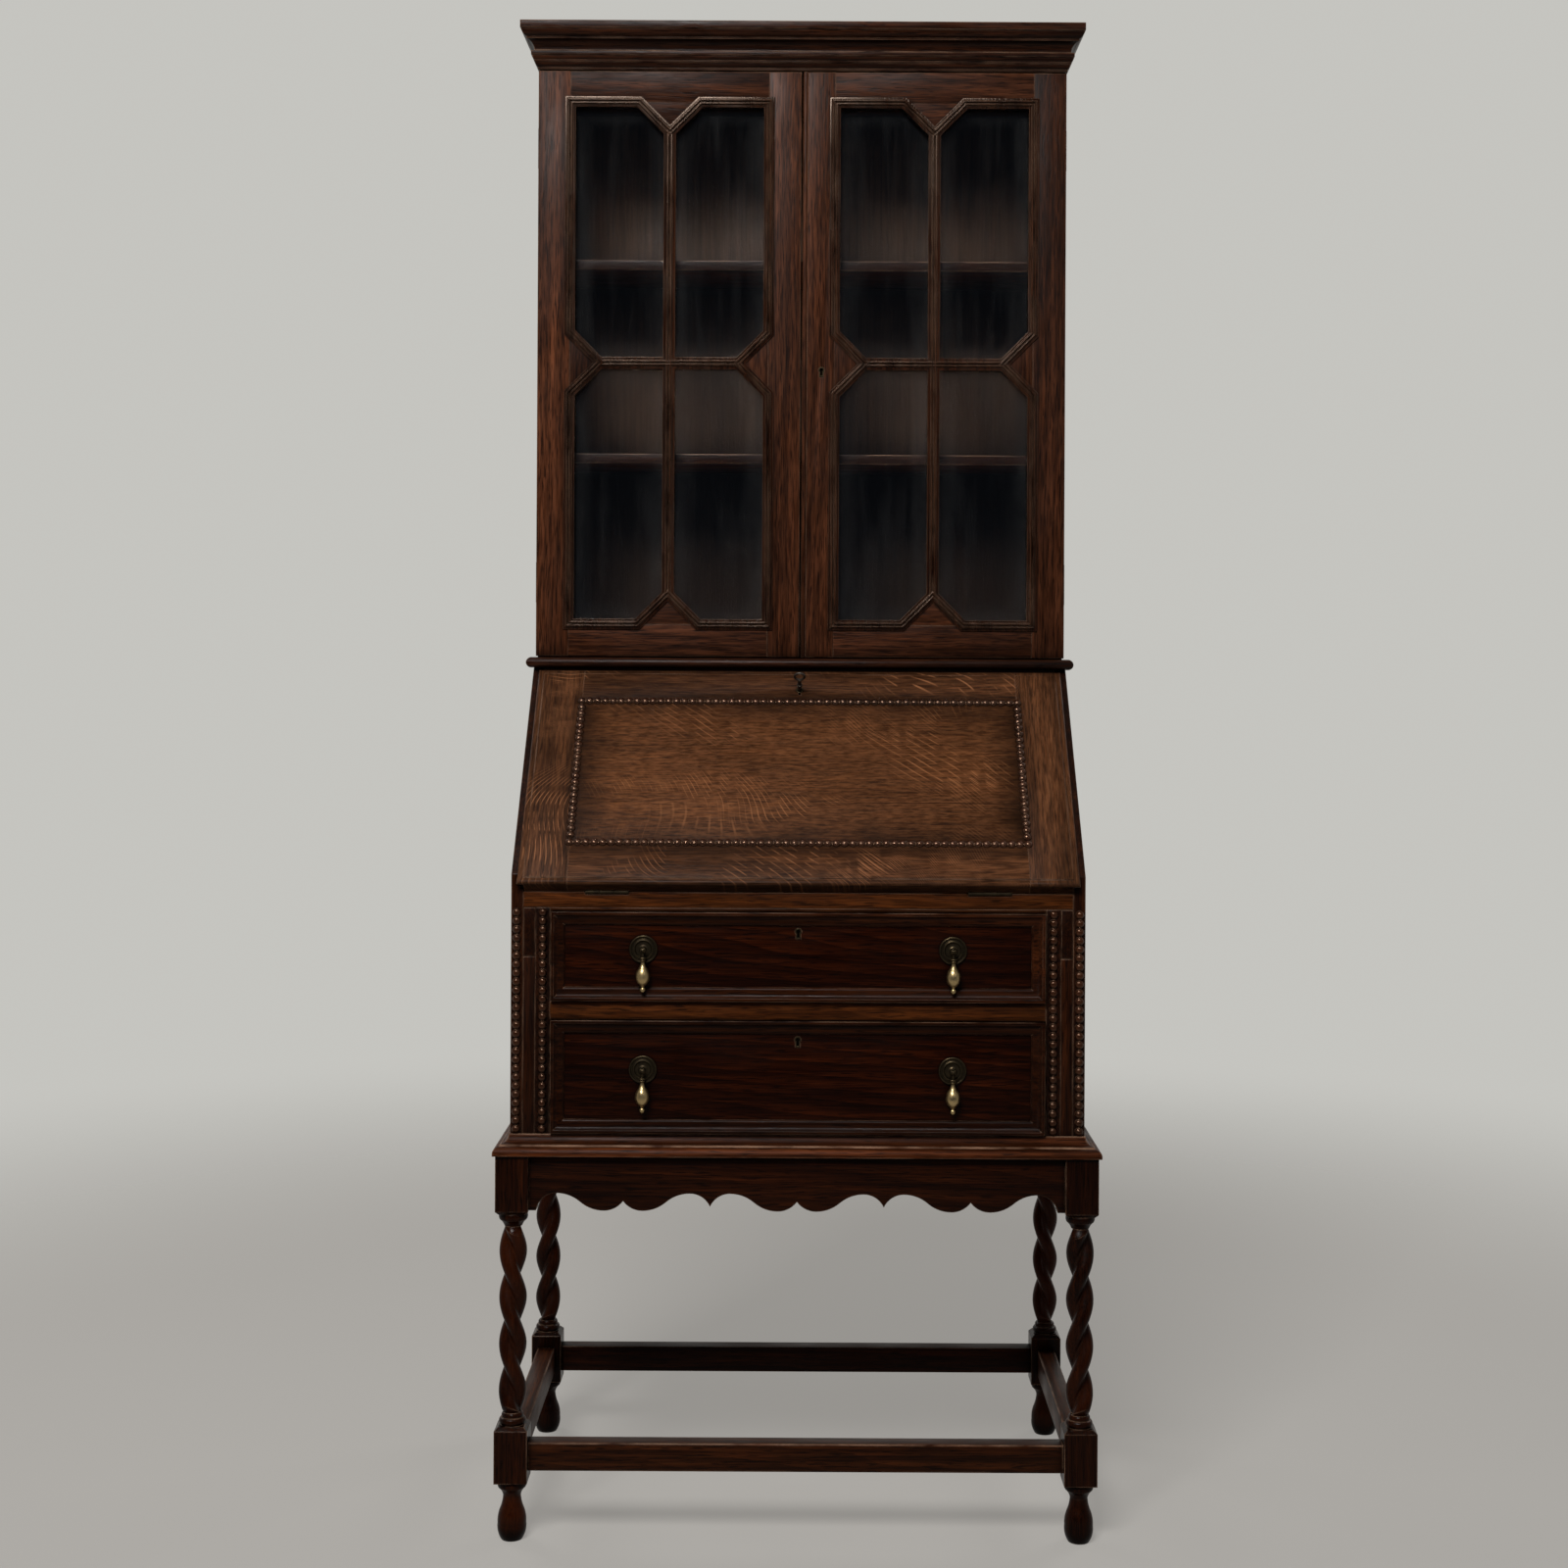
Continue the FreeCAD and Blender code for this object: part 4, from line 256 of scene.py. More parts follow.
class Graph:
    """A material's nodes, added one at a time."""

    def __init__(self, name):
        self.material = bpy.data.materials.new(name)
        self.material.use_nodes = True
        self.tree = self.material.node_tree
        self.tree.nodes.clear()

    @classmethod
    def on(cls, tree):
        """Nodes added to a tree that is already there."""
        made = cls.__new__(cls)
        made.tree = tree
        tree.nodes.clear()
        return made

    def node(self, kind, inputs=None, **settings):
        made = self.tree.nodes.new(kind)
        for key, setting in settings.items():
            setattr(made, key, setting)
        for socket, given in (inputs or {}).items():
            if isinstance(given, bpy.types.NodeSocket):
                self.tree.links.new(given, made.inputs[socket])
            else:
                made.inputs[socket].default_value = given
        return made

    def maths(self, operation, first, second=0.0, clamp=False):
        made = self.node("ShaderNodeMath", {0: first, 1: second}, operation=operation, use_clamp=clamp)
        return made.outputs[0]

    def times(self, first, second, clamp=False):
        return self.maths("MULTIPLY", first, second, clamp)

    def vector(self, operation, first, second):
        return self.node("ShaderNodeVectorMath", {0: first, 1: second}, operation=operation).outputs[0]

    def dot(self, first, second):
        made = self.node("ShaderNodeVectorMath", {0: first, 1: second}, operation="DOT_PRODUCT")
        return made.outputs["Value"]

    def part(self, vector, axis):
        """One coordinate of a vector."""
        return self.node("ShaderNodeSeparateXYZ", {"Vector": vector}).outputs[axis]

    def ramp(self, factor, low, high, start=0.0, end=1.0):
        """A factor spread from one range onto another, held at its ends."""
        inputs = {"Value": factor, "From Min": low, "From Max": high, "To Min": start, "To Max": end}
        return self.node("ShaderNodeMapRange", inputs, clamp=True).outputs["Result"]

    def mix(self, factor, first, second, blend="MIX"):
        made = self.node("ShaderNodeMix", data_type="RGBA", blend_type=blend, clamp_factor=True)
        for index, given in ((0, factor), (6, first), (7, second)):
            if isinstance(given, bpy.types.NodeSocket):
                self.tree.links.new(given, made.inputs[index])
            else:
                made.inputs[index].default_value = given
        return made.outputs[2]

    def noise(self, vector, stretch, detail=2.0, roughness=0.5):
        scaled = self.vector("MULTIPLY", vector, stretch)
        inputs = {"Vector": scaled, "Scale": 1.0, "Detail": detail, "Roughness": roughness, "Distortion": 0.0}
        return self.node("ShaderNodeTexNoise", inputs).outputs[0]

    def finish(self, shader):
        output = self.node("ShaderNodeOutputMaterial")
        self.tree.links.new(shader, output.inputs["Surface"])
        return self.material


def rgba(colour, factor=1.0):
    return (colour[0] * factor, colour[1] * factor, colour[2] * factor, 1.0)


def from_level(level, steps):
    """The two ends of a fade that is measured from a level."""
    return [level + step for step in steps]


def worn_and_lit_edges(graph, reach):
    """A normal eased over the arrises, and how close the surface is to one."""
    eased = graph.node("ShaderNodeBevel", {"Radius": reach}, samples=6).outputs["Normal"]
    flat = graph.node("ShaderNodeNewGeometry").outputs["Normal"]
    return eased, graph.ramp(graph.dot(eased, flat), 0.992, 0.86)


def oak(name, colour, grain, fleck=0.0, figure=0.35, depth=0.24, gloss=0.4, shine=0.07, rub_and_highlight=1.0, reach=0.0022,
        pore=0.75, polish_and_highlight=0.0, drawn=(4, 260, 260), streak=0.4, marks_and_shade=None, handled_and_lit=None,
        sheen=PLAIN_SHEEN):
    """Waxed oak: growth lines, pores, ray fleck, blotches, painted shade and dirt in corners, and pale rubbed
    edges with a painted highlight.
    """
    label = f"{name}_{grain}"
    if label in bpy.data.materials:
        return bpy.data.materials[label]
    finish_values = finishes()
    graph = Graph(label)
    place = graph.node("ShaderNodeTexCoord").outputs["Object"]
    turned = graph.node("ShaderNodeMapping", {"Vector": place, "Rotation": GRAIN_TURNS[grain]}).outputs[0]
    board = graph.node("ShaderNodeAttribute", attribute_name="board").outputs["Fac"]
    apart = graph.node("ShaderNodeVectorMath", {0: BOARD_STEP, "Scale": board}, operation="SCALE").outputs[0]
    along = graph.vector("ADD", turned, apart)

    drift = graph.noise(along, (1.6, 14, 14), 2)
    sway = graph.ramp(drift, 0.2, 0.8, -0.006, 0.006)
    aside = graph.node("ShaderNodeCombineXYZ", {"Y": sway, "Z": sway}).outputs[0]
    swayed = graph.vector("ADD", along, aside)
    lines = graph.ramp(graph.noise(swayed, drawn, 3, 0.6), 0.38, 0.63)
    fine = graph.ramp(graph.noise(swayed, (14, 820, 820), 2, 0.6), 0.3, 0.7)
    pores = graph.ramp(graph.noise(swayed, (42, 760, 760), 1), 0.56, 0.64)
    rings = graph.node(
        "ShaderNodeTexWave",
        {
            "Vector": graph.vector("MULTIPLY", along, (0.1, 1, 1)),
            "Scale": 42,
            "Distortion": 17,
            "Detail": 2,
            "Detail Scale": 0.3,
            "Detail Roughness": 0.45,
        },
        wave_type="BANDS",
        bands_direction="DIAGONAL",
        wave_profile="SAW",
    ).outputs["Fac"]
    blotch = graph.noise(along, (2.6, 7, 7), 3, 0.55)

    tone = graph.mix(lines, rgba(colour, depth), rgba(colour, LINE_PALE))
    glow = rgba([part * gain for part, gain in zip(colour, GLOW)])
    tone = graph.mix(graph.times(fine, 0.4), tone, glow)
    tone = graph.mix(graph.times(graph.ramp(rings, 0.15, 0.95), figure), tone, rgba(colour, RING_DARK))
    streaks = graph.ramp(graph.noise(swayed, (1.8, 95, 95), 2, 0.6), 0.34, 0.66, 1 - streak, 1 + streak)
    shade = graph.times(graph.ramp(blotch, 0.3, 0.72, 0.6, 1.35), streaks)
    shade = graph.times(shade, graph.ramp(board, 0, 1, 0.7, 1.3))
    deep = graph.node("ShaderNodeCombineColor", {"Red": shade, "Green": shade, "Blue": shade}).outputs[0]
    tone = graph.mix(1.0, tone, deep, "MULTIPLY")
    tone = graph.mix(graph.times(pores, pore), tone, rgba(colour, PORE_AND_SHADE_DARK))
    if fleck:
        rays = graph.times(ray_fleck(graph, turned, along), fleck)
        tone = graph.mix(rays, tone, rgba(colour, RAY_PALE))
    # Darker marks: a glued joint and dark wax, and painted shadow and shade.
    if marks_and_shade is not None:
        tone = graph.mix(marks_and_shade(graph, place, turned), tone, rgba(colour, MARK_AND_SHADE_DARK))

    # Painted shade, with some dirt, darkening corners, creases and hollows.
    corner = graph.node("ShaderNodeAmbientOcclusion", {"Distance": SHADE_AND_GRIME_REACH}, samples=8).outputs["AO"]
    shade_and_grime = graph.ramp(corner, 0.4, 0.97, 0.92, 0.0)
    tone = graph.mix(shade_and_grime, tone, rgba(colour, PORE_AND_SHADE_DARK))
    # Pale arrises: rubbed wear, and a painted highlight along the edges.
    eased, edge = worn_and_lit_edges(graph, reach)
    patch = graph.ramp(graph.noise(along, (22, 60, 60), 3, 0.6), 0.34, 0.6)
    worn_and_lit = graph.times(graph.times(edge, patch), rub_and_highlight * finish_values.edge_wear_and_highlight)
    tone = graph.mix(worn_and_lit, tone, rgba(finish_values.worn_and_lit_oak))
    # A painted highlight on open crests, partly rubbed wear where handled.
    if polish_and_highlight:
        highlit_crest = graph.times(graph.ramp(corner, 0.6, 0.92), graph.ramp(blotch, 0.36, 0.62))
        if handled_and_lit is not None:
            highlit_crest = graph.times(highlit_crest, handled_and_lit(graph, place))
        tone = graph.mix(graph.times(highlit_crest, polish_and_highlight), tone, glow)

    height = graph.maths("SUBTRACT", graph.times(lines, 0.35), pores)
    bump = graph.node(
        "ShaderNodeBump", {"Strength": 0.28, "Distance": GRAIN_DEPTH, "Height": height, "Normal": eased}
    ).outputs["Normal"]
    smear = graph.ramp(graph.noise(along, (9, 22, 22), 3, 0.6), 0.3, 0.7, gloss - 0.1, gloss + 0.14)
    skin = graph.node(
        "ShaderNodeBsdfPrincipled",
        {
            "Base Color": tone,
            "Roughness": smear,
            "Normal": bump,
            "Specular IOR Level": shine,
            "Specular Tint": rgba(sheen),
        },
    )
    return graph.finish(skin.outputs["BSDF"])


def ray_fleck(graph, turned, along):
    """Pale lines of ray fleck that lean and fan out across the grain, in patches."""
    spread = graph.node("ShaderNodeSeparateXYZ", {"Vector": turned}).outputs
    up = graph.maths("SUBTRACT", spread["Y"], PANEL_MIDDLE)
    lean = graph.ramp(graph.noise(along, (2.4, 2.4, 2.4), 1), 0.38, 0.62, *RAY_LEANS)
    sway = graph.ramp(graph.noise(along, (4, 7, 7), 2), 0.2, 0.8, -0.014, 0.014)
    run = graph.maths("ADD", graph.maths("ADD", spread["X"], graph.times(lean, up)), sway)
    broken = graph.ramp(graph.noise(along, (60, 15, 15), 2), 0.4, 0.56)
    fleck = None
    for spacing, seat, thin in RAY_LAYERS:
        wave = graph.maths("SINE", graph.times(run, math.tau / spacing))
        patch = graph.ramp(graph.noise(along, seat, 2), 0.52, 0.63)
        rays = graph.times(graph.times(graph.ramp(wave, thin, 0.995), patch), broken)
        fleck = rays if fleck is None else graph.maths("MAXIMUM", fleck, rays)
    return fleck


def fall_shadow_and_wax(graph, place, turned):
    """Painted shadow along the foot of the fall, and dark wax with painted shade around its bead frame."""
    up = graph.dot(place, UP_SLOPE)
    # Painted shadow along the foot of the fall.
    foot = graph.ramp(up, *from_level(FALL_LOW, FOOT_SHADOW), 0.9, 0.0)
    middle = graph.maths("ABSOLUTE", graph.maths("SUBTRACT", up, PANEL_MIDDLE))
    outside = graph.maths(
        "MAXIMUM",
        graph.maths("SUBTRACT", middle, PANEL_REACH),
        graph.maths("SUBTRACT", graph.maths("ABSOLUTE", graph.part(place, "X")), PANEL_HALF),
    )
    return graph.maths("MAXIMUM", foot, graph.ramp(outside, *FRAME_WAX_AND_SHADE, 0.5, 0.0))


def panel_joint_wax_and_shade(graph, place, turned):
    """Dark wax with painted shade towards the bead frame, and a hairline along a glued joint on the panel's right
    half.
    """
    spread = graph.node("ShaderNodeSeparateXYZ", {"Vector": turned}).outputs
    wander = graph.ramp(graph.noise(turned, (6, 6, 6), 2), 0.2, 0.8, -0.001, 0.001)
    level = graph.maths("ADD", graph.maths("SUBTRACT", spread["Y"], HINGE_UP + JOINT_RISE), wander)
    line = graph.ramp(graph.maths("ABSOLUTE", level), *JOINT_WIDTH, 1.0, 0.0)
    line = graph.times(line, graph.ramp(spread["X"], *JOINT_START))
    middle = graph.maths("ABSOLUTE", graph.maths("SUBTRACT", spread["Y"], PANEL_MIDDLE))
    inside = graph.maths(
        "MINIMUM",
        graph.maths("SUBTRACT", PANEL_REACH, middle),
        graph.maths("SUBTRACT", PANEL_HALF, graph.maths("ABSOLUTE", spread["X"])),
    )
    # Dark wax and painted shade towards the bead frame.
    blur = graph.ramp(graph.noise(turned, (26, 40, 40), 3), 0.25, 0.75, -0.012, 0.012)
    rim_wax_and_shade = graph.ramp(graph.maths("ADD", inside, blur), *PANEL_WAX_AND_SHADE, 0.85, 0.0)
    return graph.maths("MAXIMUM", line, rim_wax_and_shade)


def inside_shade(graph, place, turned):
    """Painted shade in the spaces below the bookcase's shelves, the lowest one darkest."""
    up = graph.part(place, "Z")
    low, high = (corner[2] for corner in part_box("bookcase_shelves"))
    lowest = graph.ramp(up, low, low + SHELF_FADE, 0.8, 0.0)
    space_above = graph.ramp(up, high - SHELF_FADE, high, 0.4, 0.0)
    return graph.maths("MAXIMUM", lowest, space_above)


def turned_parts(graph, place):
    """The twists and feet of the legs, which rub brighter than their square blocks and take a painted highlight.
    """
    up = graph.part(place, "Z")
    low, high = (corner[2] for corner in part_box("stretcher_front"))
    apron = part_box("apron_front")[0][2]
    above = graph.ramp(up, *from_level(high, TWIST_FOOT))
    below = graph.ramp(up, *from_level(apron, TWIST_HEAD))
    twist = graph.times(above, below)
    foot = graph.ramp(up, *from_level(low, FOOT_HEAD))
    return graph.maths("MAXIMUM", twist, foot)


def metal(name, bright, dull, polish_and_highlight, rough, fade=None):
    """Brass with tarnish lying in its hollows and rubbed bright where it is handled, its rubbed edges also a
    painted highlight.
    """
    if name in bpy.data.materials:
        return bpy.data.materials[name]
    graph = Graph(name)
    place = graph.node("ShaderNodeTexCoord").outputs["Object"]
    cloud = graph.ramp(graph.noise(place, (140, 140, 140), 4, 0.6), 0.35, 0.7)
    speck = graph.ramp(graph.noise(place, (900, 900, 900), 2), 0.5, 0.75)
    eased, edge = worn_and_lit_edges(graph, METAL_EDGE)
    hollow = graph.node("ShaderNodeAmbientOcclusion", {"Distance": METAL_HOLLOW}, samples=6).outputs["AO"]
    rubbed_and_lit = graph.times(graph.ramp(hollow, 0.45, 0.9), graph.maths("ADD", cloud, polish_and_highlight), True)
    # Rubbed bright edges: wear, and a painted highlight along the rims.
    rubbed_and_lit = graph.maths("MAXIMUM", graph.times(rubbed_and_lit, polish_and_highlight), graph.times(edge, 0.6 * polish_and_highlight))
    if fade is not None:
        rubbed_and_lit = graph.times(rubbed_and_lit, graph.ramp(graph.part(place, "Z"), *fade, 1.0, 0.12))
    tone = graph.mix(rubbed_and_lit, rgba(dull), rgba(bright))
    tone = graph.mix(graph.times(speck, 0.3), tone, rgba(dull, 0.6))
    smear = graph.ramp(cloud, 0, 1, rough + 0.18, rough)
    bump = graph.node(
        "ShaderNodeBump", {"Strength": 0.15, "Distance": 0.0002, "Height": speck, "Normal": eased}
    ).outputs["Normal"]
    skin = graph.node(
        "ShaderNodeBsdfPrincipled", {"Base Color": tone, "Metallic": 1.0, "Roughness": smear, "Normal": bump}
    )
    return graph.finish(skin.outputs["BSDF"])


def pane_inset(graph, place, axis, low, high):
    """How far a point of a door's glass lies from the nearest bar along one axis."""
    off = graph.maths("ABSOLUTE", graph.maths("SUBTRACT", graph.part(place, axis), (low + high) / 2))
    edge = graph.maths("SUBTRACT", (high - low) / 2 - PANE_LAP, off)
    return graph.maths("MINIMUM", off, edge)


def pane_glass(node):
    """Old glass: slightly waved, with a haze of dust that gathers towards the bars."""
    graph = Graph(node + "_old")
    low, high = (Vector(corner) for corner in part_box(node))
    place = graph.node("ShaderNodeTexCoord").outputs["Object"]
    wave = graph.noise(place, (9, 9, 5), 1)
    bump = graph.node("ShaderNodeBump", {"Strength": 0.05, "Distance": 0.004, "Height": wave})
    skin = graph.node(
        "ShaderNodeBsdfPrincipled",
        {
            "Base Color": rgba(finishes().glass),
            "Roughness": 0.01,
            "IOR": GLASS_INDEX,
            "Transmission Weight": 1.0,
            "Normal": bump.outputs["Normal"],
        },
    )
    streak = graph.ramp(graph.noise(place, (60, 60, 7), 3, 0.6), 0.5, 0.8)
    across = pane_inset(graph, place, "X", low.x, high.x)
    upright = pane_inset(graph, place, "Z", low.z, high.z)
    corner = graph.maths("MINIMUM", across, upright)
    dust = graph.times(graph.ramp(corner, 0.03, 0.004), graph.noise(place, (90, 90, 90), 3))
    amount = graph.maths("ADD", graph.times(dust, CORNER_DUST), graph.times(streak, STREAK_DUST), True)
    film = graph.node("ShaderNodeBsdfDiffuse", {"Color": DUST_COLOUR})
    hazed = graph.node("ShaderNodeMixShader", {0: amount, 1: skin.outputs[0], 2: film.outputs[0]})
    clear = graph.node("ShaderNodeBsdfTransparent", {"Color": PANE_SHADOW})
    shadow = graph.node("ShaderNodeLightPath").outputs["Is Shadow Ray"]
    shell = graph.node("ShaderNodeMixShader", {0: shadow, 1: hazed.outputs[0], 2: clear.outputs[0]})
    return graph.finish(shell.outputs[0])


# Boards


def solids_of(mesh):
    """Lists of polygons, one list for each closed solid of a node."""
    spots = [tuple(round(part, 6) for part in vertex.co) for vertex in mesh.vertices]
    solids = []
    current = []
    open_edges = set()
    for polygon in mesh.polygons:
        current.append(polygon)
        corners = [spots[index] for index in polygon.vertices]
        for first, second in zip(corners, corners[1:] + corners[:1]):
            open_edges.symmetric_difference_update([frozenset((first, second))])
        if not open_edges:
            solids.append(current)
            current = []
    if current:
        solids.append(current)
    return solids


def grain_of(corners, choices):
    """The grain line along which a solid is longest."""
    def reach(choice):
        spread = [corner.dot(GRAIN_LINES[choice]) for corner in corners]
        return max(spread) - min(spread)
    return max(choices, key=reach)


def boards(node, finish, choices, arris=None):
    """Boards that stand for a node: each solid welded, its arrises eased and its grain laid along it."""
    source = NODES[node].data
    width = finishes().arris if arris is None else arris
    pick = random.Random(node)
    whole = bmesh.new()
    tone = whole.faces.layers.float.new("board")
    for polygons in solids_of(source):
        solid = bmesh.new()
        places = {}
        for polygon in polygons:
            corners = []
            for index in polygon.vertices:
                spot = tuple(round(part, 6) for part in source.vertices[index].co)
                if spot not in places:
                    places[spot] = solid.verts.new(source.vertices[index].co)
                if places[spot] not in corners:
                    corners.append(places[spot])
            if len(corners) > 2 and solid.faces.get(corners) is None:
                solid.faces.new(corners)
        bmesh.ops.recalc_face_normals(solid, faces=solid.faces)
        bmesh.ops.dissolve_limit(solid, angle_limit=FLAT_TURN, verts=solid.verts, edges=solid.edges)
        paired = [edge for edge in solid.edges if len(edge.link_faces) == 2]
        sharp = [edge for edge in paired if edge.calc_face_angle_signed(0) > SHARP_TURN]
        if width > 0 and sharp:
            bmesh.ops.bevel(
                solid, geom=sharp, offset=width, segments=2, profile=0.6, affect="EDGES", clamp_overlap=True
            )
        grain = grain_of([vertex.co for vertex in solid.verts], choices)
        number = choices.index(grain)
        shade = pick.random()
        copies = {vertex: whole.verts.new(vertex.co) for vertex in solid.verts}
        for face in solid.faces:
            made = whole.faces.new([copies[vertex] for vertex in face.verts])
            made.material_index = number
            made.smooth = True
            made[tone] = shade
        solid.free()
    mesh = bpy.data.meshes.new(node + "_boards")
    whole.to_mesh(mesh)
    whole.free()
    mesh.set_sharp_from_angle(angle=SMOOTH_TURN)
    for choice in choices:
        mesh.materials.append(finish(choice))
    piece = bpy.data.objects.new(node + "_boards", mesh)
    bpy.context.scene.collection.objects.link(piece)
    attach(piece, BODY_OF[node])
    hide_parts(node)
    return piece


def paint(node, material):
    """Give a node one finish all over."""
    mesh = NODES[node].data
    mesh.materials.clear()
    mesh.materials.append(material)


def case_finish(grain):
    return oak("case_oak", finishes().case_oak, grain, drawn=(14, 300, 300))


def crown_finish(grain):
    return oak("crown_oak", finishes().crown_oak, grain, gloss=0.32, shine=0.1)


def side_finish(grain):
    return oak("side_oak", finishes().side_oak, grain, drawn=(14, 300, 300))


def rail_finish(grain):
    return oak("rail_oak", finishes().rail_oak, grain, drawn=(18, 320, 320), streak=0.3)


def bead_finish(grain):
    # A painted highlight on the crests of the beads.
    return oak("bead_oak", finishes().crown_oak, grain, figure=0.1, gloss=0.22, shine=0.5, polish_and_highlight=0.6,
               sheen=BEAD_SHEEN)


def fall_bead_finish(grain):
    # A painted highlight on the crests of the beads.
    return oak("fall_bead_oak", finishes().crown_oak, grain, figure=0.1, gloss=0.2, shine=0.9, polish_and_highlight=0.4,
               sheen=BEAD_SHEEN)


def door_finish(grain):
    return oak("door_oak", finishes().door_oak, grain, depth=0.2, drawn=(24, 330, 330), streak=0.35)


def bar_finish(grain):
    # Pale arrises on the bars: mostly a painted highlight along their lit edges, with some wear.
    return oak("bar_oak", finishes().crown_oak, grain, figure=0.1, gloss=0.2, shine=0.32, rub_and_highlight=0.9,
               reach=0.0009, sheen=BAR_SHEEN)


def stand_finish(grain):
    return oak("stand_oak", finishes().stand_oak, grain, figure=0.5, shine=0.06)


def stretcher_finish(grain):
    # Wide pale edges: rubbed wear and a painted highlight on the stretchers' lit top edges.
    return oak("stretcher_oak", finishes().stretcher_oak, grain, figure=0.5, rub_and_highlight=1.3, reach=0.004)


def base_finish(grain):
    # Pale edges: rubbed wear and a painted highlight along the board's mouldings.
    return oak("base_oak", finishes().case_oak, grain, rub_and_highlight=1.3, reach=0.0034)


def leg_finish(grain):
    # A painted highlight on the twists and feet, partly rubbed wear where handled.
    return oak("leg_oak", finishes().stand_oak, grain, gloss=0.24, shine=0.06, polish_and_highlight=0.5,
               handled_and_lit=turned_parts)


def fall_finish(grain):
    # Painted shadow at the fall's foot, and dark wax with painted shade by the bead frame.
    return oak("fall_oak", finishes().fall_oak, grain, fleck=0.85, figure=0.2, depth=0.3, shine=0.06,
               pore=0.5, drawn=(45, 330, 330), streak=0.3, marks_and_shade=fall_shadow_and_wax)


def panel_finish(grain):
    # Dark wax with painted shade by the bead frame.
    return oak("panel_oak", finishes().panel_oak, grain, fleck=0.6, figure=0.1, depth=0.3, shine=0.05,
               pore=0.4, drawn=(80, 340, 340), streak=0.12, marks_and_shade=panel_joint_wax_and_shade)


def drawer_finish(grain):
    return oak("drawer_oak", finishes().drawer_oak, grain, figure=0.75, gloss=0.36, shine=0.05,
               drawn=(12, 300, 300))


def moulding_finish(grain):
    # The mouldings take the darker side oak, partly painted shade; their pale edges are wear with a painted
    # highlight.
    return oak("moulding_oak", finishes().side_oak, grain, figure=0.2, gloss=0.32, rub_and_highlight=1.3, reach=0.0016)


def lining_finish(grain):
    return oak("lining_oak", finishes().lining_oak, grain, figure=0.3, gloss=0.6)


def shaded_inside_finish(grain):
    # A darker, shaded copy of the lining oak, with painted shade below the shelves.
    return oak("inside_oak", finishes().inside_oak, grain, figure=0.1, depth=0.8, gloss=0.55, pore=0.1,
               streak=0.08, marks_and_shade=inside_shade)


def tarnished():
    return metal("tarnished_brass", finishes().brass, finishes().tarnish, 0.1, 0.3)


def dulled():
    return metal("dulled_brass", finishes().brass, finishes().tarnish, 0.05, 0.5)


def rubbed(node):
    """Brass of a drop, bright on the pear and dark towards its stem."""
    low, high = (corner[2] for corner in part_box(node))
    fade = (low + 0.55 * (high - low), low + 0.75 * (high - low))
    return metal(f"rubbed_brass_{node}", finishes().brass, finishes().tarnish, 0.9, 0.26, fade)


# Operators


class BUREAU_OT_stand(bpy.types.Operator):
    """Dress the legs, stretchers, aprons and moulded board of the stand"""

    bl_idname = "bureau.stand"
    bl_label = "Stand"

    def execute(self, context):
        for node in NODES:
            if node.startswith("leg_"):
                paint(node, leg_finish("z"))
        for node in ("stretcher_front", "stretchers_side"):
            boards(node, stretcher_finish, ["x", "y"])
        for node in ("stretcher_back", "apron_front", "aprons_side_and_back"):
            boards(node, stand_finish, ["x", "y"])
        boards("base_board", base_finish, ["x"])
        return {"FINISHED"}


class BUREAU_OT_carcass(bpy.types.Operator):
    """Dress the sides, top, bed, rails, lopers and inside of the bureau"""

    bl_idname = "bureau.carcass"
    bl_label = "Bureau carcass"

    def execute(self, context):
        for node in ("bureau_side_left", "bureau_side_right"):
            boards(node, side_finish, ["z"])
        boards("bureau_top", crown_finish, ["x"])
        boards("drawer_guides", side_finish, ["z", "y"])
        for node in ("loper_left", "loper_right"):
            boards(node, side_finish, ["y"])
        for node in ("drawer_rails", "writing_bed", "lock_rail"):
            boards(node, rail_finish, ["x"])
        for node in ("bureau_back", "drawer_runners"):
            boards(node, lining_finish, ["z", "y"])
        boards("pigeonholes", lining_finish, ["x", "z", "y"])
        paint("pilaster_beads", bead_finish("z"))
        return {"FINISHED"}


class BUREAU_OT_fall(bpy.types.Operator):
    """Dress the frame, panel and beads of the fall"""

    bl_idname = "bureau.fall"
    bl_label = "Fall"

    def execute(self, context):
        boards("fall_frame", fall_finish, ["fall_x", "fall_up"], arris=FALL_ARRIS)
        boards("fall_panel", panel_finish, ["fall_x"], arris=PANEL_ARRIS)
        paint("fall_beads", fall_bead_finish("x"))
        return {"FINISHED"}


class BUREAU_OT_drawers(bpy.types.Operator):
    """Dress the fronts, mouldings and linings of both drawers"""

    bl_idname = "bureau.drawers"
    bl_label = "Drawers"

    def execute(self, context):
        for drawer in ("lower", "upper"):
            boards(f"{drawer}_drawer_front", drawer_finish, ["x"])
            boards(f"{drawer}_drawer_moulding", moulding_finish, ["x", "z"])
            boards(f"{drawer}_drawer_box", lining_finish, ["x", "y"])
        return {"FINISHED"}


class BUREAU_OT_bookcase(bpy.types.Operator):
    """Dress the sides, boards, shelves, back and cornice of the bookcase"""

    bl_idname = "bureau.bookcase"
    bl_label = "Bookcase"

    def execute(self, context):
        for node in ("bookcase_side_left", "bookcase_side_right"):
            boards(node, side_finish, ["z"])
        for node in ("bookcase_bottom", "bookcase_top", "bookcase_shelves"):
            boards(node, case_finish, ["x"])
        # The back's inner face takes the darker oak as painted shade; faces turned outwards take the lining oak.
        back = boards("bookcase_back", shaded_inside_finish, ["z"]).data
        back.materials.append(lining_finish("z"))
        for face in back.polygons:
            if face.normal.y > 0.5:
                face.material_index = len(back.materials) - 1
        boards("cornice", crown_finish, ["x", "y"])
        return {"FINISHED"}


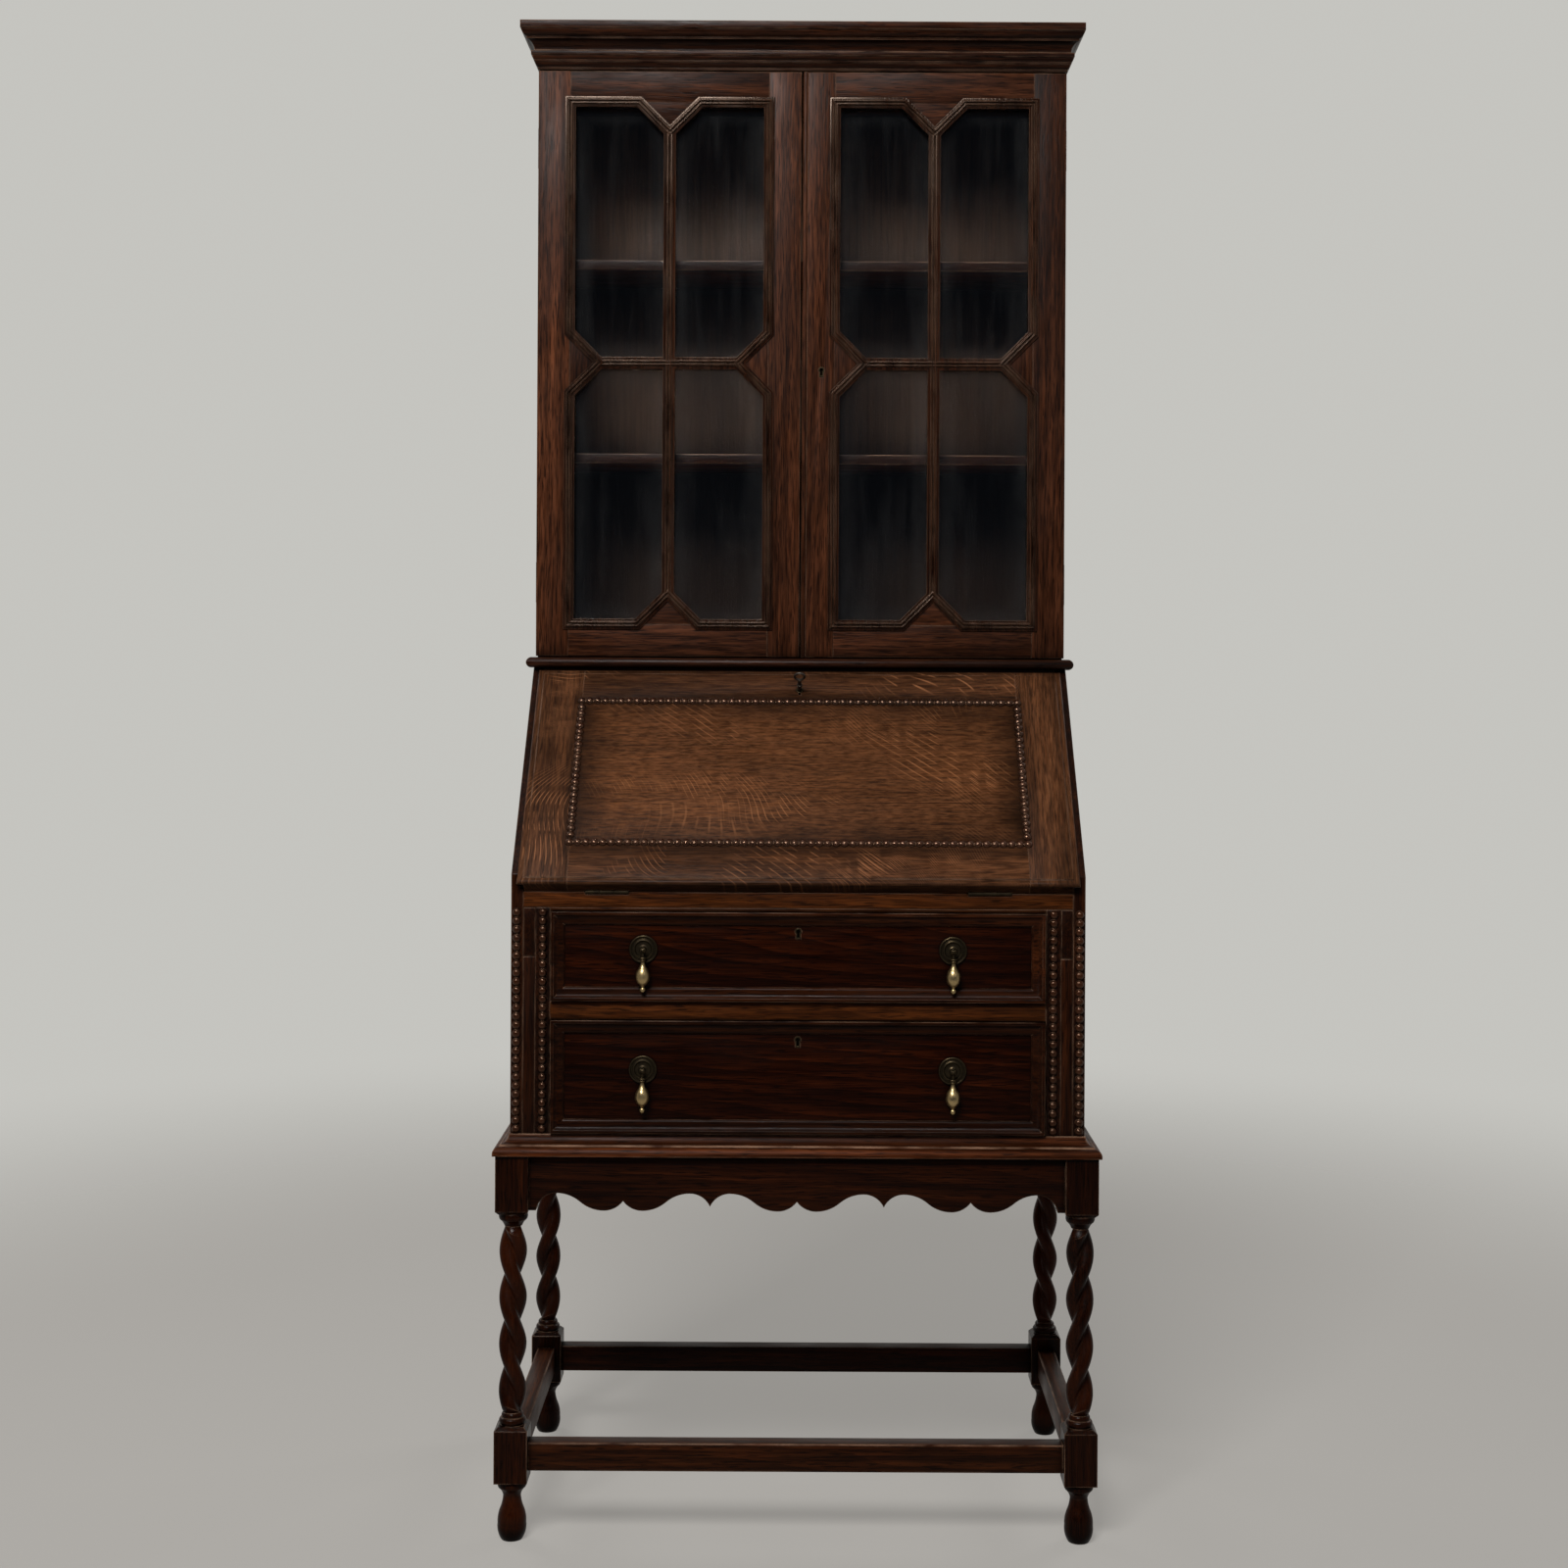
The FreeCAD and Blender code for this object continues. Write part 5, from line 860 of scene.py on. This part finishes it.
class BUREAU_OT_doors(bpy.types.Operator):
    """Dress the frames, glazing bars and panes of both doors"""

    bl_idname = "bureau.doors"
    bl_label = "Doors"

    def execute(self, context):
        for side in ("left", "right"):
            boards(f"{side}_door_frame", door_finish, ["x", "z"])
            boards(f"{side}_door_glazing_bars", bar_finish, ["z"], arris=BAR_ARRIS)
            paint(f"{side}_door_glass", pane_glass(f"{side}_door_glass"))
        return {"FINISHED"}


class BUREAU_OT_metalwork(bpy.types.Operator):
    """Dress the hinges, locks, key, back plates and drops"""

    bl_idname = "bureau.metalwork"
    bl_label = "Metalwork"

    def execute(self, context):
        for node, slot in SLOT_OF.items():
            if slot == "brass_aged":
                paint(node, dulled() if "hinge" in node else tarnished())
            if slot == "brass_drop":
                paint(node, rubbed(node))
        paint("fall_key", metal("key_iron", finishes().iron, finishes().tarnish, 0.5, 0.34))
        return {"FINISHED"}


class BUREAU_OT_stage(bpy.types.Operator):
    """Set the camera, lamps, floor and backdrop"""

    bl_idname = "bureau.stage"
    bl_label = "Stage"

    def execute(self, context):
        scene = context.scene
        stage = scene.bureau_stage
        camera = bpy.data.objects.new("camera", bpy.data.cameras.new("camera"))
        camera.data.sensor_width = 36
        camera.data.lens = stage.lens
        camera.data.shift_x = stage.shift_across
        camera.data.shift_y = stage.shift_up
        camera.location = (0, -stage.camera_back, stage.camera_height)
        camera.rotation_euler = (math.pi / 2, 0, 0)
        camera.rotation_euler.rotate_axis("Z", stage.roll)
        scene.collection.objects.link(camera)
        scene.camera = camera

        for name, strength, place, aim, spread in LAMPS:
            self.lamp(context, name, getattr(stage, strength), place, aim, spread)
        scene.world = self.surroundings(stage)
        self.floor(context, stage)
        scene.view_settings.view_transform = "Standard"
        return {"FINISHED"}

    def lamp(self, context, name, power, place, aim, spread):
        data = bpy.data.lights.new(name, "AREA")
        data.shape = "RECTANGLE"
        data.size, data.size_y = spread
        data.energy = power
        made = bpy.data.objects.new(name, data)
        made.location = place
        made.rotation_euler = (Vector(aim) - Vector(place)).to_track_quat("-Z", "Y").to_euler()
        context.scene.collection.objects.link(made)

    def seen(self, graph):
        """One where the eye, a reflection or a view through glass meets the surroundings."""
        path = graph.node("ShaderNodeLightPath").outputs
        direct = graph.maths("MAXIMUM", path["Is Camera Ray"], path["Is Glossy Ray"])
        return graph.maths("MAXIMUM", direct, path["Is Transmission Ray"])

    def surroundings(self, stage):
        """A pale backdrop all round, dimmer in front for reflections, with an even light of its own."""
        world = bpy.data.worlds.new("surroundings")
        world.use_nodes = True
        graph = Graph.on(world.node_tree)
        ahead = graph.part(graph.node("ShaderNodeTexCoord").outputs["Generated"], "Y")
        camera = graph.node("ShaderNodeLightPath").outputs["Is Camera Ray"]
        pale = graph.maths("MAXIMUM", graph.ramp(ahead, -0.9, 0.5), camera)
        tone = graph.mix(pale, rgba(stage.front_colour), rgba(stage.backdrop_colour))
        backdrop = graph.node("ShaderNodeBackground", {"Color": tone}).outputs[0]
        even = {"Color": rgba(stage.even_tint), "Strength": stage.even_light}
        light = graph.node("ShaderNodeBackground", even).outputs[0]
        cover = graph.node("ShaderNodeMixShader", {0: self.seen(graph), 1: light, 2: backdrop})
        output = graph.node("ShaderNodeOutputWorld")
        graph.tree.links.new(cover.outputs[0], output.inputs["Surface"])
        return world

    def floor(self, context, stage):
        """A round floor that fades into the backdrop."""
        shape = bmesh.new()
        bmesh.ops.create_circle(shape, cap_ends=True, radius=stage.floor_reach, segments=96)
        mesh = bpy.data.meshes.new("floor")
        shape.to_mesh(mesh)
        shape.free()
        graph = Graph("pale_floor")
        place = graph.node("ShaderNodeTexCoord").outputs["Object"]
        off = graph.node("ShaderNodeVectorMath", {0: place}, operation="LENGTH").outputs["Value"]
        skin = graph.node("ShaderNodeBsdfDiffuse", {"Color": rgba(stage.floor_colour)})
        glow = graph.node("ShaderNodeEmission", {"Color": rgba(stage.floor_colour)})
        even = graph.times(self.seen(graph), stage.floor_glow)
        cover = graph.node("ShaderNodeMixShader", {0: even, 1: skin.outputs[0], 2: glow.outputs[0]})
        clear = graph.node("ShaderNodeBsdfTransparent")
        fade = graph.node(
            "ShaderNodeMapRange",
            {"Value": off, "From Min": stage.floor_plain, "From Max": stage.floor_reach - FLOOR_RIM},
            interpolation_type="SMOOTHSTEP",
        ).outputs["Result"]
        faded = graph.node("ShaderNodeMixShader", {0: fade, 1: cover.outputs[0], 2: clear.outputs[0]})
        mesh.materials.append(graph.finish(faded.outputs[0]))
        made = bpy.data.objects.new("floor", mesh)
        context.scene.collection.objects.link(made)


class BUREAU_PT_panel(bpy.types.Panel):
    """Finishes, stage and the steps that dress the piece"""

    bl_idname = "BUREAU_PT_panel"
    bl_label = "Bureau Bookcase"
    bl_space_type = "VIEW_3D"
    bl_region_type = "UI"
    bl_category = "Bureau"

    def draw(self, context):
        for group in (context.scene.bureau_finishes, context.scene.bureau_stage):
            column = self.layout.column(align=True)
            for name in group.bl_rna.properties.keys():
                if name not in ("rna_type", "name"):
                    column.prop(group, name)
        for step in STEPS:
            self.layout.operator(step.bl_idname)


STEPS = (
    BUREAU_OT_stand,
    BUREAU_OT_carcass,
    BUREAU_OT_fall,
    BUREAU_OT_drawers,
    BUREAU_OT_bookcase,
    BUREAU_OT_doors,
    BUREAU_OT_metalwork,
    BUREAU_OT_stage,
)
CLASSES = (BureauFinishes, BureauStage) + STEPS + (BUREAU_PT_panel,)


def register():
    for item in CLASSES:
        bpy.utils.register_class(item)
    bpy.types.Scene.bureau_finishes = bpy.props.PointerProperty(type=BureauFinishes)
    bpy.types.Scene.bureau_stage = bpy.props.PointerProperty(type=BureauStage)


def unregister():
    del bpy.types.Scene.bureau_stage
    del bpy.types.Scene.bureau_finishes
    for item in reversed(CLASSES):
        bpy.utils.unregister_class(item)


def main():
    register()
    bpy.ops.bureau.stand()
    bpy.ops.bureau.carcass()
    bpy.ops.bureau.fall()
    bpy.ops.bureau.drawers()
    bpy.ops.bureau.bookcase()
    bpy.ops.bureau.doors()
    bpy.ops.bureau.metalwork()
    bpy.ops.bureau.stage()


if __name__ == "__main__":
    main()
